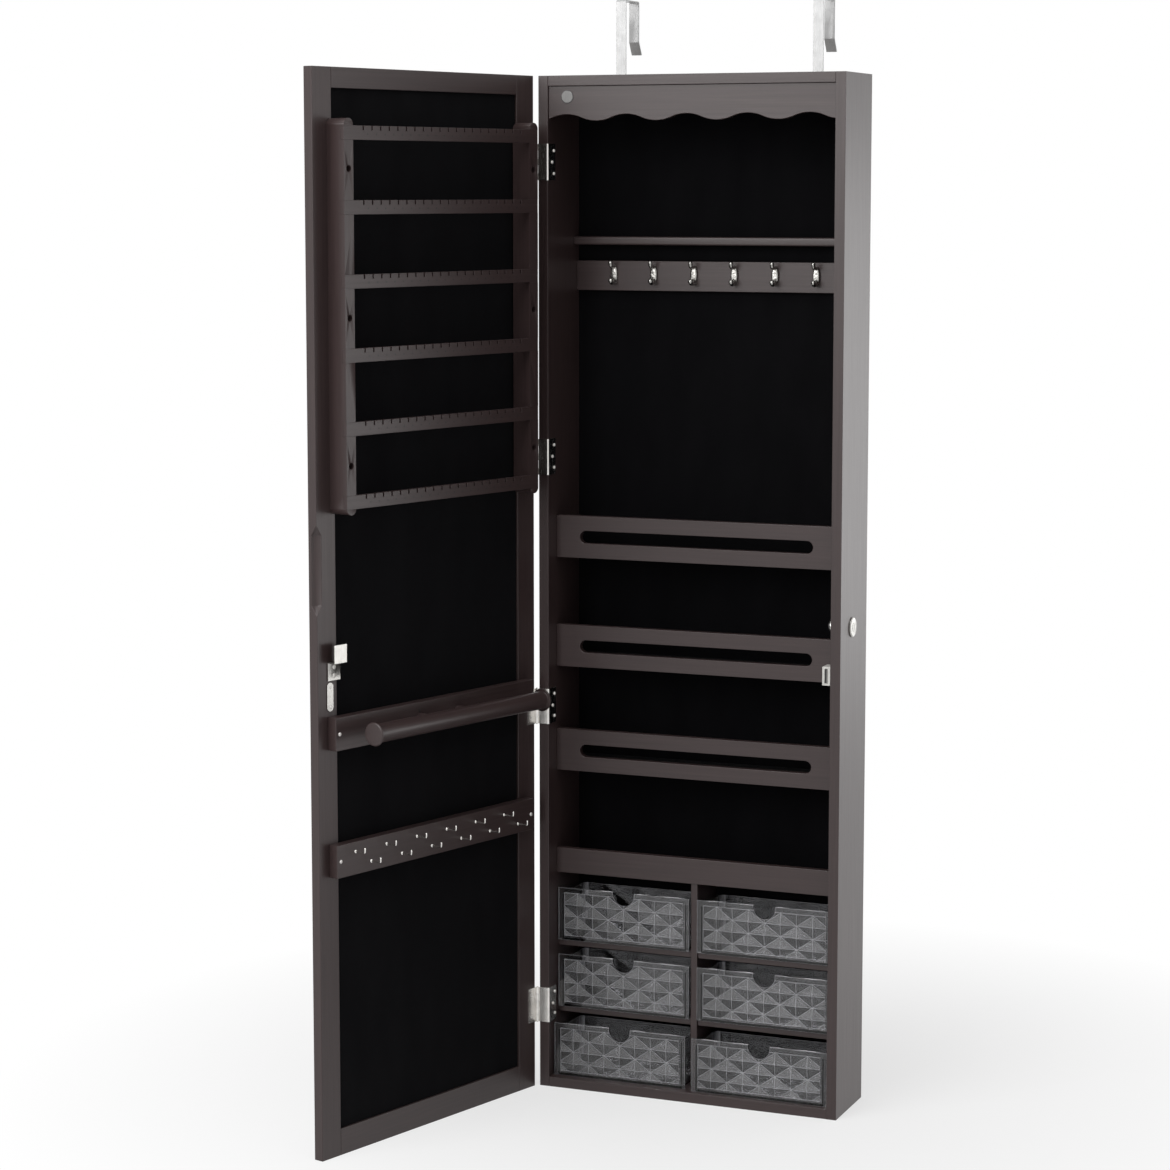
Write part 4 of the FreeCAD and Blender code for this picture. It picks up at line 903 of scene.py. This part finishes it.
class CABINET_OT_stage(bpy.types.Operator):
    """Lay the floor, hang the lamps and set the camera."""

    bl_idname = "cabinet.stage"
    bl_label = "Studio"

    def execute(self, context):
        self.lay_floor()
        self.light_room(context)
        aim = Vector((0, -0.1, 0.1))
        self.hang_lamp("key", (-1.25, -3.0, 1.45), aim, 2.5, 2.2, studio().key_power)
        low_aim = Vector((0, -0.1, -0.2))
        self.hang_lamp("side", (2.1, 1.7, -0.02), low_aim, 3.0, 1.1, studio().side_power)
        self.hang_lamp("top", (0.2, -0.9, 2.6), aim, 1.6, 1.6, studio().top_power)
        self.set_camera(context)
        context.scene.view_settings.view_transform = "Standard"
        return {"FINISHED"}

    def lay_floor(self):
        """A pale floor that keeps the shadow near the cabinet and runs out to white."""
        bm = bmesh.new()
        bmesh.ops.create_grid(bm, x_segments=1, y_segments=1, size=studio().floor_width / 2,
                              matrix=Matrix.Translation((0, 0, CASE_FOOT)))
        mesh = bpy.data.meshes.new("floor")
        bm.to_mesh(mesh)
        bm.free()
        floor = bpy.data.objects.new("floor", mesh)
        bpy.context.scene.collection.objects.link(floor)
        finish = Finish("pale_floor")
        finish.set(Specular_IOR_Level=0.1)
        speckle = finish.noise(finish.place, (40.0, 40.0, 40.0), detail=3.0)
        finish.tint(finish.blend(speckle, colours().floor, [c * 0.985 for c in colours().floor]))
        finish.roughen(finish.spread(speckle, 0.3, 0.7, 0.8, 0.9))
        white = finish.nodes.new("ShaderNodeEmission")
        distance = finish.nodes.new("ShaderNodeVectorMath")
        distance.operation = "LENGTH"
        finish.join(finish.place, distance.inputs[0])
        away = finish.spread(distance.outputs["Value"], 0.62, 1.05, 0.62, 1.0)
        share = finish.multiply(away, seen_directly(finish.nodes, finish.links))
        mix = finish.nodes.new("ShaderNodeMixShader")
        finish.join(share, mix.inputs[0])
        finish.join(finish.shader.outputs[0], mix.inputs[1])
        finish.join(white.outputs[0], mix.inputs[2])
        finish.join(mix.outputs[0], finish.nodes["Material Output"].inputs["Surface"])
        mesh.materials.append(finish.material)

    def light_room(self, context):
        """Even white light, seen as plain white by the camera, metal and glass."""
        world = bpy.data.worlds.new("room")
        world.use_nodes = True
        context.scene.world = world
        nodes, links = world.node_tree.nodes, world.node_tree.links
        background = nodes["Background"]
        background.inputs["Color"].default_value = (1, 1, 1, 1)
        level = nodes.new("ShaderNodeMapRange")
        level.inputs["To Min"].default_value = studio().daylight
        level.inputs["To Max"].default_value = 1.0
        links.new(seen_directly(nodes, links), level.inputs["Value"])
        links.new(level.outputs["Result"], background.inputs["Strength"])

    def hang_lamp(self, name, place, aim, width, height, power):
        lamp = bpy.data.lights.new(name, "AREA")
        lamp.shape = "RECTANGLE"
        lamp.size, lamp.size_y = width, height
        lamp.energy = power
        holder = bpy.data.objects.new(name, lamp)
        holder.location = place
        holder.rotation_euler = (aim - Vector(place)).to_track_quat("-Z", "Y").to_euler()
        holder.visible_camera = False
        bpy.context.scene.collection.objects.link(holder)

    def set_camera(self, context):
        lens = bpy.data.cameras.new("camera")
        lens.sensor_fit = "HORIZONTAL"
        lens.sensor_width = SENSOR_WIDTH
        lens.lens = studio().camera_lens
        lens.shift_y = studio().camera_rise
        camera = bpy.data.objects.new("camera", lens)
        camera.location = studio().camera_place
        camera.rotation_euler = (math.pi / 2 - studio().camera_pitch, 0, studio().camera_yaw)
        context.scene.collection.objects.link(camera)
        context.scene.camera = camera


def seen_directly(nodes, links):
    """1 for rays from the camera or off metal and glass, 0 for the light that falls on things."""
    path = nodes.new("ShaderNodeLightPath")
    value = path.outputs["Is Camera Ray"]
    for name in ("Is Glossy Ray", "Is Transmission Ray"):
        larger = nodes.new("ShaderNodeMath")
        larger.operation = "MAXIMUM"
        links.new(value, larger.inputs[0])
        links.new(path.outputs[name], larger.inputs[1])
        value = larger.outputs[0]
    return value


STEPS = (CABINET_OT_case, CABINET_OT_compartments, CABINET_OT_door, CABINET_OT_earring_rack,
         CABINET_OT_rod, CABINET_OT_coat_hooks, CABINET_OT_small_hooks, CABINET_OT_drawers,
         CABINET_OT_hinges, CABINET_OT_lock, CABINET_OT_hangers, CABINET_OT_screws,
         CABINET_OT_stage)


class CABINET_PT_panel(bpy.types.Panel):
    """Sizes, colours and steps of the cabinet."""

    bl_idname = "CABINET_PT_panel"
    bl_label = "Jewelry cabinet"
    bl_space_type = "VIEW_3D"
    bl_region_type = "UI"
    bl_category = "Cabinet"

    def draw(self, context):
        for group in (sizes(), colours(), studio()):
            box = self.layout.box()
            for name in group.__annotations__:
                box.prop(group, name)
        for step in STEPS:
            self.layout.operator(step.bl_idname)


CLASSES = (CabinetColours, CabinetSizes, CabinetStudio, *STEPS, CABINET_PT_panel)


def register():
    for cls in CLASSES:
        bpy.utils.register_class(cls)
    bpy.types.Scene.cabinet_colours = PointerProperty(type=CabinetColours)
    bpy.types.Scene.cabinet_sizes = PointerProperty(type=CabinetSizes)
    bpy.types.Scene.cabinet_studio = PointerProperty(type=CabinetStudio)


def unregister():
    del bpy.types.Scene.cabinet_studio
    del bpy.types.Scene.cabinet_sizes
    del bpy.types.Scene.cabinet_colours
    for cls in reversed(CLASSES):
        bpy.utils.unregister_class(cls)


def main():
    register()
    bpy.ops.cabinet.case()
    bpy.ops.cabinet.compartments()
    bpy.ops.cabinet.door()
    bpy.ops.cabinet.earring_rack()
    bpy.ops.cabinet.rod()
    bpy.ops.cabinet.coat_hooks()
    bpy.ops.cabinet.small_hooks()
    bpy.ops.cabinet.drawers()
    bpy.ops.cabinet.hinges()
    bpy.ops.cabinet.lock()
    bpy.ops.cabinet.hangers()
    bpy.ops.cabinet.screws()
    bpy.ops.cabinet.stage()


if __name__ == "__main__":
    main()
